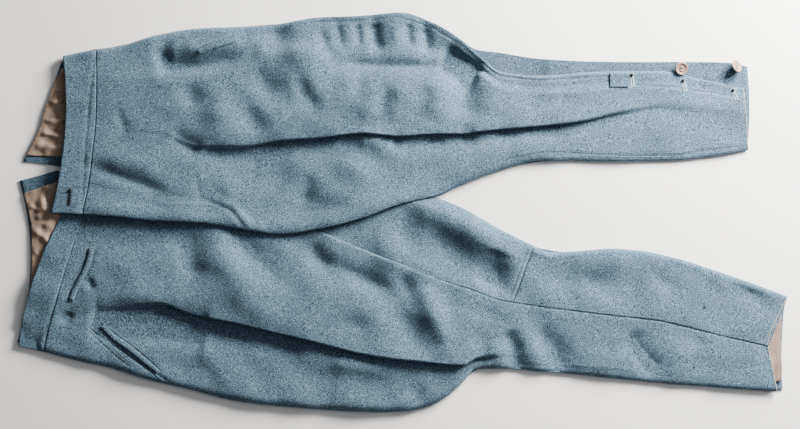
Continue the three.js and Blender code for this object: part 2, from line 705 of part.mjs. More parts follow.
function flyFacing() {
  const drop = CLOTH / 2 + SEAM_GAP + FACING / 2 + 2 * TRIM_ROOM;
  const insets = [FLY_FACING_WIDTH, FLY_FACING_WIDTH / 2, FLY_FACING_INSET];
  const grid = evenSteps(0, FLY_FACING_END, FLY_FACING_ROWS).map((at) => {
    const section = sectionAt(FRONT_LEFT, at);
    return insets.map((inset) => {
      const y = section.yLow + inset;
      const height = lowerHeight(section, y) + foldHeight(FOLDS_LEFT, section.xLow, y);
      return new THREE.Vector3(acrossX(section, y), y, height - drop);
    });
  });
  return wallAbout(grid, FACING);
}

place("fly_facing_left", flyFacing(), facing());

// Facing that shows where the left ankle placket begins.
const PLACKET_PATCH = [[270, 172], [282, 172], [294, 172]];
place(
  "placket_facing_left",
  stripOn(FRONT_LEFT, PLACKET_PATCH, PLACKET_FACING_WIDTH, FACING, 4),
  facing(),
);

// Ankle buttons: four holes, sewn to the back's button stand on a thread shank.
function solidOf(geometry) {
  geometry.deleteAttribute("normal");
  geometry.deleteAttribute("uv");
  const merged = mergeVertices(geometry, WELD);
  return new wasm.Manifold(
    new wasm.Mesh({
      numProp: 3,
      vertProperties: merged.attributes.position.array,
      triVerts: new Uint32Array(merged.index.array),
    }),
  );
}

function geometryOf(solid) {
  const mesh = solid.getMesh();
  const geometry = new THREE.BufferGeometry();
  geometry.setAttribute("position", new THREE.BufferAttribute(mesh.vertProperties, 3));
  geometry.setIndex(new THREE.BufferAttribute(mesh.triVerts, 1));
  geometry.computeVertexNormals();
  return geometry;
}

function buttonDisc() {
  const radius = BUTTON_WIDTH / 2;
  const half = BUTTON_THICKNESS / 2;
  // From the middle of the back, round the rim, to the dish that the holes are bored through.
  const profile = [
    [0, -half], [radius * 0.55, -half], [radius * 0.9, -half * 0.5], [radius, 0],
    [radius * 0.94, half * 0.8], [radius * 0.84, half], [radius * 0.7, half * 0.75],
    [radius * 0.6, half * 0.3], [0, half * 0.2],
  ].map(([across, up]) => new THREE.Vector2(across, up));
  const disc = new THREE.LatheGeometry(profile, BUTTON_SIDES);
  disc.rotateX(Math.PI / 2);
  let solid = solidOf(disc);
  for (const [right, up] of [[1, 1], [1, -1], [-1, 1], [-1, -1]]) {
    const wide = BUTTON_HOLE / 2;
    const hole = new THREE.CylinderGeometry(wide, wide, 2 * BUTTON_THICKNESS, HOLE_SIDES);
    hole.rotateX(Math.PI / 2);
    hole.translate(right * BUTTON_HOLE_SPREAD, up * BUTTON_HOLE_SPREAD, 0);
    solid = solid.subtract(solidOf(hole));
  }
  return solid;
}

// Where the buttons hang by their thread, and how far each leans, in radians.
const UPPER_BUTTON = { at: new THREE.Vector3(363, 187, 8.2), tilt: [0.1, 0.08] };
const LOWER_BUTTON = { at: new THREE.Vector3(434, 190, 9.6), tilt: [-0.35, 0.7] };

function ankleButton(name, { at, tilt }) {
  const turn = new THREE.Matrix4().makeRotationFromEuler(new THREE.Euler(tilt[0], tilt[1], 0));
  const disc = geometryOf(buttonDisc());
  disc.applyMatrix4(turn);
  disc.translate(at.x, at.y, at.z);
  const foot = BACK_TOP + SEAM_GAP;
  const shankLength = at.z - foot;
  const shank = new THREE.CylinderGeometry(
    SHANK_TOP_WIDTH / 2,
    SHANK_FOOT_WIDTH / 2,
    shankLength,
    SHANK_SIDES,
  );
  shank.rotateX(Math.PI / 2);
  shank.translate(at.x, at.y, foot + shankLength / 2);
  place(name, geometryOf(solidOf(disc).add(solidOf(shank))), composition());
}

ankleButton("ankle_button_1", UPPER_BUTTON);
ankleButton("ankle_button_2", LOWER_BUTTON);

// The origin is the centre of the box around the garment, on the surface.
const around = new THREE.Box3().setFromObject(breeches);
const centre = around.getCenter(new THREE.Vector3());
breeches.position.set(-centre.x, -centre.y, -around.min.z);

export default breeches;
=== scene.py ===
# %% [markdown]
# # Uniform riding breeches, laid flat
# Heavy milled wool breeches lie front up on a table, waist to the left and hems to the right.
# Every piece of cloth is rebuilt here as a fine shell on the form of its solid: the same sections,
# cut far closer together, with the creases pressed in. Only the lap edge of the left leg
# lies a few millimetres lower than in its solid. The frame gives the place of the whole lay.

# %% Load the frame
import math

import bmesh
import bpy
import numpy as np
from mathutils import Euler, Matrix, Vector
from mathutils.bvhtree import BVHTree


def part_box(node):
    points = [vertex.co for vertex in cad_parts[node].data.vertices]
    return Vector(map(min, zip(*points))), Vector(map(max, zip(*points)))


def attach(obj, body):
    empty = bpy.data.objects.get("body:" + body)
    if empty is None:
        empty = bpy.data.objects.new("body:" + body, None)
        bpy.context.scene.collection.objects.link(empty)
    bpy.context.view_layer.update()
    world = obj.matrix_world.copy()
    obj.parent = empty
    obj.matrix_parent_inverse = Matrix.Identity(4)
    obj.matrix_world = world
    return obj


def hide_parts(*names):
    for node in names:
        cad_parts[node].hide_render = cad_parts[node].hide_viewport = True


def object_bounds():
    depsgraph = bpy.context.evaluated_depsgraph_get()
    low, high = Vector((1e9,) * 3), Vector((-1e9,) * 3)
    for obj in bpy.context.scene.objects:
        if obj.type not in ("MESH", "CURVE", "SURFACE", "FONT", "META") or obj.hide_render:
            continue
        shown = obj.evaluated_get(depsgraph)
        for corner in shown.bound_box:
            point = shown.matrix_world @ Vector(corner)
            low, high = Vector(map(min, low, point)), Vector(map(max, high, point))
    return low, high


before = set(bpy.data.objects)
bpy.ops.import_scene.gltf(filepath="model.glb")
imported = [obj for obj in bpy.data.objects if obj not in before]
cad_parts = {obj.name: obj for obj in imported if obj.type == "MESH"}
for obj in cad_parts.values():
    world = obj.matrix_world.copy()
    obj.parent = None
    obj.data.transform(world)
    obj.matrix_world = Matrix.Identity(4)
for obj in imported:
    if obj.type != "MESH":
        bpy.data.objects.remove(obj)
cad_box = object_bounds()
MM = 0.001
print("solids in the frame:", len(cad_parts))

# %% [markdown]
# The sections below are the pattern of the garment, in millimetres, as a cutter would note them:
# where each section starts and ends, where its ridge and its lap lie, and how high the cloth's
# middle stands there. They are measured from the middle of the lay, so the first step is to see
# where the frame put the right back, and to carry every measure from there.

# %% Where the lay's own origin sits in the frame
HEM_END_X = 499.0
SIDE_END_Y = -259.0
back_low, back_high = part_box("back_right")
LAY_X = back_high[0] / MM - HEM_END_X
LAY_Y = back_low[1] / MM - SIDE_END_Y
print("lay origin, mm:", round(LAY_X, 2), round(LAY_Y, 2))

# %% [markdown]
# ## Reading a table of sections
# A pattern table has one row for each section and named columns. Between rows every column follows
# a smooth curve that never overshoots, so a straight seam stays straight between two equal sizes.
# The slope at a row is the harmonic mean of its two sides, which is zero wherever they disagree.

# %% Tables and smooth curves
def table(names, rows):
    values = np.array(rows, dtype=float)
    return {name: values[:, place] for place, name in enumerate(names.split())}


def smooth_at(values, at):
    last = len(values) - 1
    at = np.clip(at, 0, last)
    low = np.minimum(np.floor(at).astype(int), last - 1)
    part = at - low
    steps = np.diff(values)
    slopes = np.zeros(last + 1)
    slopes[0], slopes[-1] = steps[0], steps[-1]
    agree = steps[:-1] * steps[1:] > 0
    both = np.where(agree, steps[:-1] + steps[1:], 1.0)
    slopes[1:-1] = np.where(agree, 2 * steps[:-1] * steps[1:] / both, 0.0)
    square, cube = part**2, part**3
    return (
        values[low] * (2 * cube - 3 * square + 1)
        + slopes[low] * (cube - 2 * square + part)
        + values[low + 1] * (3 * square - 2 * cube)
        + slopes[low + 1] * (cube - square)
    )


def section_at(panel, at):
    return {name: float(smooth_at(values, np.array(at))) for name, values in panel.items()}


def mix(a, b, part):
    return a + (b - a) * part


def eased(part):
    part = np.clip(part, 0, 1)
    return part * part * (3 - 2 * part)


def rolled(edge, crown, distance, roll):
    part = np.clip(distance / roll, 0, 1)
    return edge + (crown - edge) * np.sqrt(part * (2 - part))


# %% [markdown]
# ## The two fronts
# On the real garment each front is one piece of cloth from waist to hem, cut very full at the
# thigh. Laid down, that fullness folds: on the left leg a long lap runs down the middle, and on
# the right leg the side tucks under the front and comes out again as a lobe. A flat sheet with a
# bump would not show the dark gap under such a lap, so every section turns the cloth under, runs
# it back and turns it out again. `turn` is how far it turns, in degrees, and `tuck` how deep.

# %% Pattern of the left and right front
CLOTH = 2.0
FACING = 1.2
SEAM_GAP = 0.3
BACK_TOP = CLOTH
SEAT = BACK_TOP + 1.0
FOLD_BEND = 4.6
TIGHTER = 0.62
LOOSER = 0.95
FRONT_COLUMNS = (
    "xUp yUp xLow yLow bow ridge lap zUp zSide zRidge zLap zLow zLowEdge rollUp rollLow turn tuck"
)
FRONT_LEFT = table(
    FRONT_COLUMNS,
    [
        [-396, 212, -413, -1, 7, 165, 110, SEAT, 9, 10, 10, 11, 10.5, 8, 3, 0, 2],
        [-366, 216, -372, -4, 5, 168, 110, SEAT, 9, 10.5, 10.5, 11, 10.5, 9, 3, 0, 2],
        [-314, 231, -314, -10, 0, 172, 104, SEAT, 9.5, 11.5, 12, 11, 10, 10, 3, 8, 2],
        [-262, 239, -262, -12, 0, 180, 86, SEAT, 10, 13, 14, 10.5, 9.5, 10, 4, 35, 2],
        [-210, 241, -210, -20, 0, 195, 86, SEAT, 10.5, 14.5, 16, 10, 9, 10, 5, 80, 2],
        [-158, 245, -158, -27, 0, 208, 94, 5, 10, 16, 17.5, 9.8, 9, 8, 6, 115, 3],
        [-106, 253, -106, -20, 0, 199, 98, 8, 9, 17.5, 18, 9.8, 9.2, 5, 7, 145, 6],
        [-54, 255, -54, -7, 0, 190, 103, 10, 8.5, 18.5, 18, 9.8, 9.2, 4, 7, 160, 8],
        [-2, 259, -2, 12, 0, 190, 100, 11, 8.5, 18.5, 18, 9.6, 9, 4, 7, 165, 9],
        [41, 246, 41, 22, 0, 188, 103, 11, 8, 17.5, 17.5, 9.2, 7.6, 4, 9, 165, 9],
        [76, 225, 76, 36, 0, 184, 103, 10, 7, 16, 17, 8.5, SEAT, 4, 10, 165, 9],
        [102, 202, 102, 47, 0, 176, 106, 8, 7, 14.5, 16, 8.2, SEAT, 4, 10, 160, 8],
        [128, 183, 128, 56, 0, 160, 109, 5, 8, 13.5, 15.5, 8, SEAT, 4, 10, 150, 7],
        [180, 177, 180, 69, 0, 152, 113, 4, 8.5, 13.5, 16, 7.6, SEAT, 5, 9, 120, 4],
        [232, 181, 232, 68, 0, 154, 119, 3.6, 8, 12.5, 14.2, 7.4, SEAT, 6, 9, 95, 2],
        [284, 183, 284, 68, 0, 160, 131, 3.6, 7.4, 10.5, 11.6, 7.2, SEAT, 6, 9, 50, 2],
        [336, 183, 336, 68, 0, 162, 139, 3.8, 6, 8, 8.4, 7, SEAT, 5, 9, 18, 2],
        [388, 173, 388, 72, 0, 155, 134, 3.8, 5.4, 7, 7.4, 6.6, SEAT, 5, 8, 10, 2],
        [444, 161, 450, 82, 0, 148, 125, 4.2, 5, 6, 6.4, 6, SEAT, 4, 7, 4, 2],
    ],
)
FRONT_RIGHT = table(
    FRONT_COLUMNS,
    [
        [-408, 10, -465, -179, -3, -70, -113, 3.4, 4.6, 7, 8, 7.5, SEAT, 1, 9, 0, 2],
        [-379, 8, -424, -190, -2, -70, -124, 3.4, 4.6, 8, 9, 8, SEAT, 1, 9, 4, 2],
        [-340, 6, -379, -200, 0, -70, -124, 3.4, 4.8, 9, 10, 8.4, SEAT, 1, 9, 20, 2],
        [-301, 5, -327, -216, 0, -70, -117, 3.4, 5, 10, 12.5, 8.6, SEAT, 1, 10, 75, 2],
        [-262, 3, -275, -228, 0, -70, -131, 3.4, 5, 12, 16, 8.8, SEAT, 1, 10, 135, 5],
        [-210, -1, -216, -243, 0, -75, -142, 3.4, 5, 13.5, 17.5, 9, SEAT, 1, 10, 160, 8],
        [-158, -9, -158, -250, 0, -85, -155, 3.4, 5.4, 15, 18, 9.2, SEAT, 1, 11, 165, 9],
        [-109, -23, -109, -254, 0, -95, -167, 5, 8, 16, 18, 9.2, SEAT, 1, 11, 165, 9],
        [-54, -46, -54, -257, 0, -115, -181, 8, 12, 17, 18, 9, SEAT, 1, 11, 160, 8],
        [-2, -66, -2, -257, 0, -130, -189, 10.5, 13.5, 17.5, 18, 8.8, SEAT, 1, 11, 160, 7],
        [24, -75, 31, -251, 0, -137, -192, 11, 13.5, 17, 17.5, 8.6, SEAT, 1, 11, 158, 7],
        [50, -87, 59, -237, 0, -140, -195, 11.5, 13, 16, 16.5, 8, SEAT, 1, 10, 155, 6],
        [76, -95, 80, -218, 0, -145, -196, 11.5, 12.5, 15, 15.5, 7, SEAT, 1, 8, 145, 4],
        [92, -100, 97, -202, 0, -145, -188, 11.2, 12, 14, 13.5, 7, SEAT, 1, 6, 95, 2],
        [128, -113, 128, -201, 0, -148, -184, 10.5, 11, 12, 11.5, 8.5, SEAT, 1, 8, 22, 2],
        [180, -121, 180, -205, 0, -155, -186, 9.5, 9.8, 10.5, 9.5, 8, SEAT, 1, 9, 4, 2],
        [258, -131, 258, -212, 0, -164, -192, 8.5, 8.8, 9.4, 8.6, 7.6, SEAT, 1, 9, 0, 2],
        [336, -140, 336, -220, 0, -173, -200, 7.5, 7.8, 8.4, 7.8, 7.2, SEAT, 1, 9, 0, 2],
        [414, -159, 417, -226, 0, -185, -208, 6.5, 6.8, 7.4, 7, 6.6, SEAT, 1, 8, 0, 2],
        [476, -173, 487, -231, 0, -195, -214, 5.6, 5.8, 6.4, 6.2, 6, SEAT, 1, 7, 0, 2],
    ],
)


# %% Shape of one section
def across_x(section, y):
    part = (section["yUp"] - y) / (section["yUp"] - section["yLow"])
    return mix(section["xUp"], section["xLow"], part) + 4 * part * (1 - part) * section["bow"]


def lap_shape(section):
    turn = math.radians(max(section["turn"], 0.5))
    radius = FOLD_BEND / turn
    reach = radius * math.sin(min(turn, math.pi / 2))
    drop = 2 * radius * (1 - math.cos(turn)) + section["tuck"] * math.sin(turn)
    run = 2 * radius * math.sin(turn) + section["tuck"] * math.cos(turn)
    start = section["lap"] + reach
    return {"turn": turn, "drop": drop, "start": start, "end": start - run}


def upper_height(section, y):
    lap = lap_shape(section)
    up, ridge = section["yUp"], section["ridge"]
    side = mix(up, ridge, 0.5)
    outer = mix(section["zUp"], section["zSide"], eased((up - y) / (up - side)))
    edge = rolled(section["zUp"], section["zSide"], up - y, TIGHTER * section["rollUp"])
    outer = np.maximum(outer, edge)
    middle = mix(section["zSide"], section["zRidge"], eased((side - y) / (side - ridge)))
    inner = mix(section["zRidge"], section["zLap"], eased((ridge - y) / (ridge - lap["start"])))
    return np.where(y > side, outer, np.where(y > ridge, middle, inner))


def lower_height(section, y):
    lap = lap_shape(section)
    half = (lap["end"] - section["yLow"]) * 0.5
    crown = mix(section["zLap"] - lap["drop"], section["zLow"], eased((lap["end"] - y) / half))
    return rolled(section["zLowEdge"], crown, y - section["yLow"], LOOSER * section["rollLow"])


CROWDED = 0.75


# Places from 0 to 1, closer together at both ends, where the edges roll.
def spread(count):
    even = np.linspace(0, 1, count + 1)
    return mix(even, (1 - np.cos(np.pi * even)) / 2, CROWDED)


# %% [markdown]
# ## Creases
# The main creases are pressed in, one row for each, where the real cloth shows them: how
# wide, how deep (a ridge is above zero), how sharp its lower side is beside its upper side, and the
# line that it follows. Cloth simulation could make folds too, but not these folds in these places.

# %% Pressing creases into a surface
PRESSED = 1.2
SEAM_WIDTH = 5.0
END_DEPTH = 0.25


def crease(width, depth, line, fade=0.22, lean=1.0):
    return {"width": width, "depth": depth, "line": np.array(line, float), "fade": fade, "lean": lean}


def creases_of(rows):
    return [crease(*row) for row in rows]


def press(creases, x, y):
    height = np.zeros(np.broadcast(x, y).shape)
    for one in creases:
        line = one["line"]
        lengths = np.hypot(*np.diff(line, axis=0).T)
        total = lengths.sum()
        best = np.full(height.shape, 1e9)
        side = np.ones(height.shape)
        along = np.zeros(height.shape)
        passed = 0.0
        for start, end, length in zip(line[:-1], line[1:], lengths):
            step = (end - start) / length
            reach = (x - start[0]) * step[0] + (y - start[1]) * step[1]
            held = np.clip(reach, 0, length)
            away = np.hypot(x - start[0] - held * step[0], y - start[1] - held * step[1])
            cross = (x - start[0]) * step[1] - (y - start[1]) * step[0]
            closer = away < best
            best = np.where(closer, away, best)
            side = np.where(closer, np.sign(cross), side)
            along = np.where(closer, (passed + held) / total, along)
            passed += length
        width = one["width"] / 2 * np.where(side > 0, one["lean"], 1.0)
        inside = eased(along / one["fade"]) * eased((1 - along) / one["fade"])
        ends = mix(END_DEPTH, 1.0, inside)
        deeper = PRESSED if one["width"] > SEAM_WIDTH else 1.0
        height += deeper * one["depth"] * np.exp(-((best / width) ** 2)) * ends
    return height


# The cloth's own unevenness: soft waves of many lengths and directions, always the same ones.
def undulation(x, y, seed, strength, longest=95.0, shortest=26.0, waves=22):
    random = np.random.default_rng(seed)
    height = np.zeros(np.broadcast(x, y).shape)
    for _ in range(waves):
        length = random.uniform(shortest, longest)
        turn = random.uniform(0, 2 * np.pi)
        phase = random.uniform(0, 2 * np.pi)
        wave = 2 * np.pi / length
        height += np.sin(wave * (x * np.cos(turn) + y * np.sin(turn)) + phase) * length / longest
    return height * strength / math.sqrt(waves)


# %% Creases of the left front
CREASES_LEFT = creases_of([
    # Waist and fly
    (15, -3.6, [(-410, 62), (-380, 53), (-350, 42), (-318, 31), (-296, 23)], 0.3),
    (22, 2.4, [(-396, 76), (-350, 66), (-306, 50)], 0.3),
    (24, 3.6, [(-420, 6), (-372, 3), (-314, -3), (-262, -6), (-210, -13), (-158, -20),
     (-106, -13), (-54, 0), (-2, 19), (30, 27)], 0.08),
    (12, -1.2, [(-367, 136), (-364, 122), (-358, 106)]),
    (26, -1.2, [(-366, 118), (-358, 94)], 0.4),
    (5.2, 0.5, [(-354, 117), (-330, 131), (-309, 143)]),
    (30, -1.2, [(-354, 196), (-318, 192)], 0.4),
    (24, -1.3, [(-330, 92), (-300, 84), (-266, 84)], 0.4),
    (8, -0.9, [(-266, 46), (-262, 20)]),
    (14, -1.2, [(-203, 0), (-184, -10), (-158, -20)], 0.3),
    (20, 1.3, [(-232, 60), (-226, 30), (-214, 8)], 0.4),
    # The gaping side pocket
    (22, -7.6, [(-306, 224), (-310, 206), (-303, 189), (-262, 190), (-226, 197),
     (-196, 206)], 0.25),
    (22, 4.2, [(-292, 214), (-262, 213), (-226, 219), (-196, 228)], 0.25),
    (7, -1.2, [(-272, 207), (-236, 217), (-194, 231)]),
    # Hip to thigh, above the long lap
    (34, -5.6, [(-166, 246), (-160, 222), (-154, 200)], 0.35),
    (46, 4.4, [(-134, 240), (-130, 204), (-114, 172), (-92, 144)], 0.35),
    (28, -3.0, [(-196, 190), (-182, 172), (-164, 148)], 0.3),
    (20, 1.5, [(-150, 184), (-140, 166), (-130, 150)], 0.4),
    (22, -3.4, [(-138, 176), (-124, 152), (-108, 130)], 0.3),
    (26, -3.0, [(-280, 170), (-272, 150), (-264, 136)], 0.35),
    (34, 2.6, [(-244, 172), (-236, 140), (-238, 112)], 0.3),
    (28, -3.2, [(-206, 142), (-192, 120), (-176, 102)], 0.35),
    (16, -1.4, [(-206, 186), (-204, 166)], 0.35),
    (18, -1.6, [(-56, 188), (-54, 172), (-60, 154)], 0.35),
    (26, 2.4, [(-34, 172), (-38, 140), (-50, 116)], 0.3),
    (22, -1.9, [(-12, 168), (-22, 146), (-32, 124)], 0.35),
    (40, 3.9, [(0, 176), (-5, 146), (-14, 112)], 0.35),
    (18, -1.3, [(34, 170), (30, 146), (26, 126)], 0.35),
    (38, 3.9, [(44, 182), (45, 150), (36, 116)], 0.35),
    (34, -7.0, [(80, 186), (84, 160), (78, 116)], 0.3),
    (30, 1.8, [(112, 180), (116, 150), (112, 126)], 0.3),
    (24, -1.2, [(152, 168), (160, 146)], 0.4),
    # The side, between the lifted rim and the top of the thigh
    (12, 1.6, [(-96, 252), (-54, 253), (-2, 255), (36, 246)], 0.3),
    (40, 2.8, [(-100, 224), (-54, 222), (-2, 221), (41, 213), (70, 202)], 0.3),
    (26, -5.0, [(-96, 196), (-54, 193), (-2, 190), (41, 187), (80, 184), (112, 178)], 0.35),
    (10, -2.6, [(-84, 194), (-40, 192), (10, 191), (58, 190), (96, 186), (116, 182)], 0.15),
    (16, -2.8, [(-106, 240), (-100, 216), (-84, 196)], 0.25),
    (12, -2.2, [(-84, 246), (-78, 214)], 0.25),
    (11, -2.3, [(-58, 246), (-54, 214)], 0.25),
    (18, -4.8, [(-36, 248), (-34, 226), (-28, 206)], 0.2),
    (12, 1.3, [(-10, 246), (-6, 214)], 0.2),
    (13, -3.0, [(8, 246), (11, 214)], 0.2),
    (12, 1.2, [(24, 244), (24, 212)], 0.2),
    (18, -5.0, [(28, 244), (33, 206)], 0.25),
    (44, -9.0, [(46, 200), (74, 188), (104, 176)]),
    (24, 4.6, [(64, 224), (90, 206), (118, 185)], 0.25),
    # Under the long lap
    (24, -3.6, [(-302, 106), (-282, 94), (-258, 78)], 0.25),
    (26, -3.0, [(-262, 78), (-200, 75), (-150, 84), (-110, 88), (-78, 90)], 0.12),
    (22, 4.6, [(-60, 96), (-40, 95), (-20, 92)], 0.35),
    (18, -3.0, [(-14, 94), (2, 92)], 0.35),
    (20, -3.4, [(26, 94), (60, 96)], 0.35),
    (20, -3.4, [(72, 96), (100, 98)], 0.35),
    (20, -3.0, [(118, 100), (156, 104)], 0.35),
    (84, 5.2, [(-44, 76), (-60, 46), (-84, -4)], 0.35),
    (24, -3.0, [(-118, 52), (-124, 30), (-130, 10)], 0.3),
    (90, -4.0, [(-200, 70), (-176, 52), (-150, 26)], 0.3),
    (26, -1.2, [(-220, 66), (-196, 44), (-176, 20)], 0.4),
    (26, 1.7, [(-34, 86), (-14, 78), (6, 70)]),
    (30, -1.2, [(-20, 30), (20, 48), (60, 60)], 0.4),
    (30, -1.1, [(170, 104), (240, 96), (320, 92)]),
    (24, 0.9, [(40, 80), (110, 78), (180, 88)]),
    # Knee to ankle
    (18, -1.2, [(250, 128), (264, 147), (272, 160)]),
    (28, -1.2, [(178, 160), (172, 144), (160, 130)]),
    (24, -1.1, [(208, 156), (216, 138)], 0.4),
    (24, -0.8, [(372, 118), (410, 112), (440, 106)]),
    (30, -0.8, [(320, 128), (380, 130), (440, 122)]),
    (34, 2.4, [(40, 44), (90, 66), (140, 82), (190, 88)], 0.3),
])

# %% Creases of the right front and inner leg
CREASES_RIGHT = creases_of([
    # Below the fly, towards the crotch
    (44, 5.6, [(-250, -14), (-238, -48), (-216, -84), (-184, -116)], 0.25),
    (32, -3.8, [(-286, -20), (-278, -54), (-262, -88)], 0.25),
    (28, -5.2, [(-216, -24), (-206, -48), (-190, -66), (-166, -80), (-134, -90)], 0.35),
    (26, 1.6, [(-176, -34), (-150, -50), (-110, -66)], 0.3),
    (24, -3.2, [(-120, -40), (-108, -60), (-94, -74)]),
    (26, -4.0, [(-92, -62), (-64, -77), (-38, -90), (-8, -108)], 0.4),
    (24, 1.4, [(-40, -52), (-14, -62), (4, -74)], 0.35),
    (22, -2.8, [(-6, -80), (6, -94), (18, -108)], 0.4),
    (38, -5.4, [(-40, -98), (-12, -120), (14, -150), (36, -192)], 0.3),
    (28, 4.6, [(20, -94), (36, -116), (50, -146), (60, -172)], 0.2),
    # Hip, above the lap
    (36, 1.6, [(-236, -108), (-170, -130), (-100, -150)], 0.3),
    (22, -1.2, [(-84, -138), (-64, -156)], 0.4),
    (24, -1.4, [(-64, -130), (-50, -156)], 0.4),
    (30, -1.2, [(-360, -50), (-330, -66), (-290, -74)]),
    (12, -2.8, [(-407, -84), (-400, -100)]),
    (18, -4.6, [(-440, -128), (-430, -142)], 0.35),
    (60, -8.0, [(-518, -144), (-508, -180), (-474, -196)], 0.2),
    # The lap's soft start, and the shade under it
    (50, -8.4, [(-408, -140), (-370, -144), (-330, -146), (-290, -150), (-250, -158)], 0.08, 0.8),
    (30, 2.4, [(-384, -112), (-340, -112), (-296, -110)], 0.3),
    (30, -3.6, [(-256, -156), (-200, -162), (-150, -172), (-116, -180)], 0.15),
    (22, 3.4, [(-100, -190), (-54, -200), (-14, -206)], 0.3),
    (34, -1.2, [(-214, -176), (-200, -200), (-186, -230)]),
    (36, -1.1, [(-104, -200), (-96, -222), (-88, -246)]),
    (24, -1.8, [(14, -222), (20, -238), (24, -250)]),
    (30, -1.0, [(-28, -210), (-22, -232), (-18, -250)]),
    (28, -2.0, [(-320, -186), (-290, -200), (-268, -214)], 0.3),
    (20, 1.2, [(-262, -176), (-240, -200), (-226, -228)], 0.3),
    # Knee and calf
    (20, -1.8, [(96, -150), (104, -168), (110, -192)], 0.3),
    (24, -4.4, [(136, -150), (146, -176), (150, -206)], 0.2),
    (24, 1.4, [(164, -150), (172, -178), (178, -198)], 0.3),
    (34, -5.2, [(168, -150), (190, -174), (216, -204)], 0.2),
    (30, -5.8, [(290, -156), (308, -180), (332, -210)], 0.2),
    (24, 1.0, [(330, -150), (350, -172), (366, -196)], 0.3),
    (20, -1.1, [(370, -154), (390, -178)]),
    (26, -0.9, [(180, -160), (260, -172), (330, -182)]),
    (22, -1.3, [(466, -140), (474, -176), (480, -204)], 0.3),
])
CREASES_INNER = creases_of([
    (44, 7.2, [(2, 14), (52, -5), (90, -24), (122, -46), (152, -76)], 0.2),
    (48, -5.4, [(26, -24), (56, -42), (88, -62), (120, -84), (146, -104)], 0.25),
    (32, -5.0, [(128, -46), (120, -70), (112, -98)], 0.2),
    (26, -1.4, [(-10, -16), (16, -44), (40, -66)], 0.3),
    (34, -2.0, [(164, -70), (198, -84), (236, -92), (300, -98)], 0.3),
    (26, 1.2, [(200, -62), (260, -62), (310, -66)], 0.3),
    (24, -1.4, [(238, -84), (262, -96)]),
    (24, -1.6, [(326, -78), (350, -100)]),
    (22, -1.2, [(392, -86), (412, -108)]),
    (24, -1.8, [(440, -96), (462, -112), (478, -134)], 0.3),
])
print("creases:", len(CREASES_LEFT) + len(CREASES_RIGHT) + len(CREASES_INNER))

# %% [markdown]
# ## From sections to cloth
# A grid of middle points becomes cloth by moving a copy of it out along its normals by half the
# cloth's thickness and another copy in. A solidify modifier would do the same, but here the rim
# gets one more row of points pushed out a little, so that a cut edge looks soft and not sawn.

# %% Shells
def normals_of(grid):
    along = np.gradient(grid, axis=0)
    across = np.gradient(grid, axis=1)
    normal = np.cross(across, along)
    return normal / np.linalg.norm(normal, axis=2, keepdims=True)


def rim_of(rows, columns):
    top = [(0, column) for column in range(columns - 1)]
    right = [(row, columns - 1) for row in range(rows - 1)]
    bottom = [(rows - 1, column) for column in range(columns - 1, 0, -1)]
    left = [(row, 0) for row in range(rows - 1, 0, -1)]
    return np.array(top + right + bottom + left)


def grid_faces(rows, columns):
    corner = np.arange(rows * columns).reshape(rows, columns)
    return np.stack(
        [corner[:-1, :-1], corner[:-1, 1:], corner[1:, 1:], corner[1:, :-1]], axis=-1
    ).reshape(-1, 4)


RIM_BULGE = 0.3


def smooth_faces(mesh):
    mesh.polygons.foreach_set("use_smooth", np.ones(len(mesh.polygons), dtype=bool))


def shell_mesh(name, grid, thickness):
    rows, columns = grid.shape[:2]
    normal = normals_of(grid)
    upper = (grid + normal * thickness / 2).reshape(-1, 3)
    lower = (grid - normal * thickness / 2).reshape(-1, 3)
    rim = rim_of(rows, columns)
    inward = np.clip(rim, 1, np.array([rows, columns]) - 2)
    edge = grid[rim[:, 0], rim[:, 1]]
    out = edge - grid[inward[:, 0], inward[:, 1]]
    out /= np.linalg.norm(out, axis=1, keepdims=True) + 1e-9
    middle = edge + out * RIM_BULGE
    points = np.concatenate([upper, lower, middle])
    under = rows * columns
    flat = rim[:, 0] * columns + rim[:, 1]
    after = np.roll(flat, -1)
    ring = 2 * under + np.arange(len(flat))
    ring_after = np.roll(ring, -1)
    top = grid_faces(rows, columns)
    faces = np.concatenate(
        [
            top,
            top[:, ::-1] + under,
            np.stack([after, flat, ring, ring_after], axis=-1),
            np.stack([ring_after, ring, flat + under, after + under], axis=-1),
        ]
    )
    points = (points + np.array([LAY_X, LAY_Y, 0.0])) * MM
    mesh = bpy.data.meshes.new(name)
    mesh.vertices.add(len(points))
    mesh.vertices.foreach_set("co", points.astype(np.float32).ravel())
    mesh.loops.add(faces.size)
    mesh.loops.foreach_set("vertex_index", faces.astype(np.int32).ravel())
    mesh.polygons.add(len(faces))
    mesh.polygons.foreach_set("loop_start", np.arange(0, faces.size, 4, dtype=np.int32))
    mesh.update(calc_edges=True)
    smooth_faces(mesh)
    return mesh


# %% Adding pieces to the scene
made_pieces = {}


def lay_point(x, y, z):
    return Vector(((x + LAY_X) * MM, (y + LAY_Y) * MM, z * MM))


def add_object(name, data):
    thing = bpy.data.objects.new(name, data)
    bpy.context.scene.collection.objects.link(thing)
    return thing


def take_place(piece, slot, *nodes):
    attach(piece, "root")
    if nodes:
        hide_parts(*nodes)


def add_cloth(name, grid, thickness, slot, material, nodes):
    mesh = shell_mesh(name, grid, thickness)
    piece = add_object(name, mesh)
    mesh.materials.append(material)
    take_place(piece, slot, *nodes)
    made_pieces[name] = piece


def fine_places(panel):
    last = len(panel["xUp"]) - 1
    return np.linspace(0, last, 40 * last + 1)


# Evenly spaced sections: the places in a table where its middle line is cut every few millimetres.
def even_sections(panel, step):
    fine = fine_places(panel)
    middle = (smooth_at(panel["xUp"], fine) + smooth_at(panel["xLow"], fine)) / 2
    count = int(round((middle[-1] - middle[0]) / step))
    return np.interp(np.linspace(middle[0], middle[-1], count + 1), middle, fine)


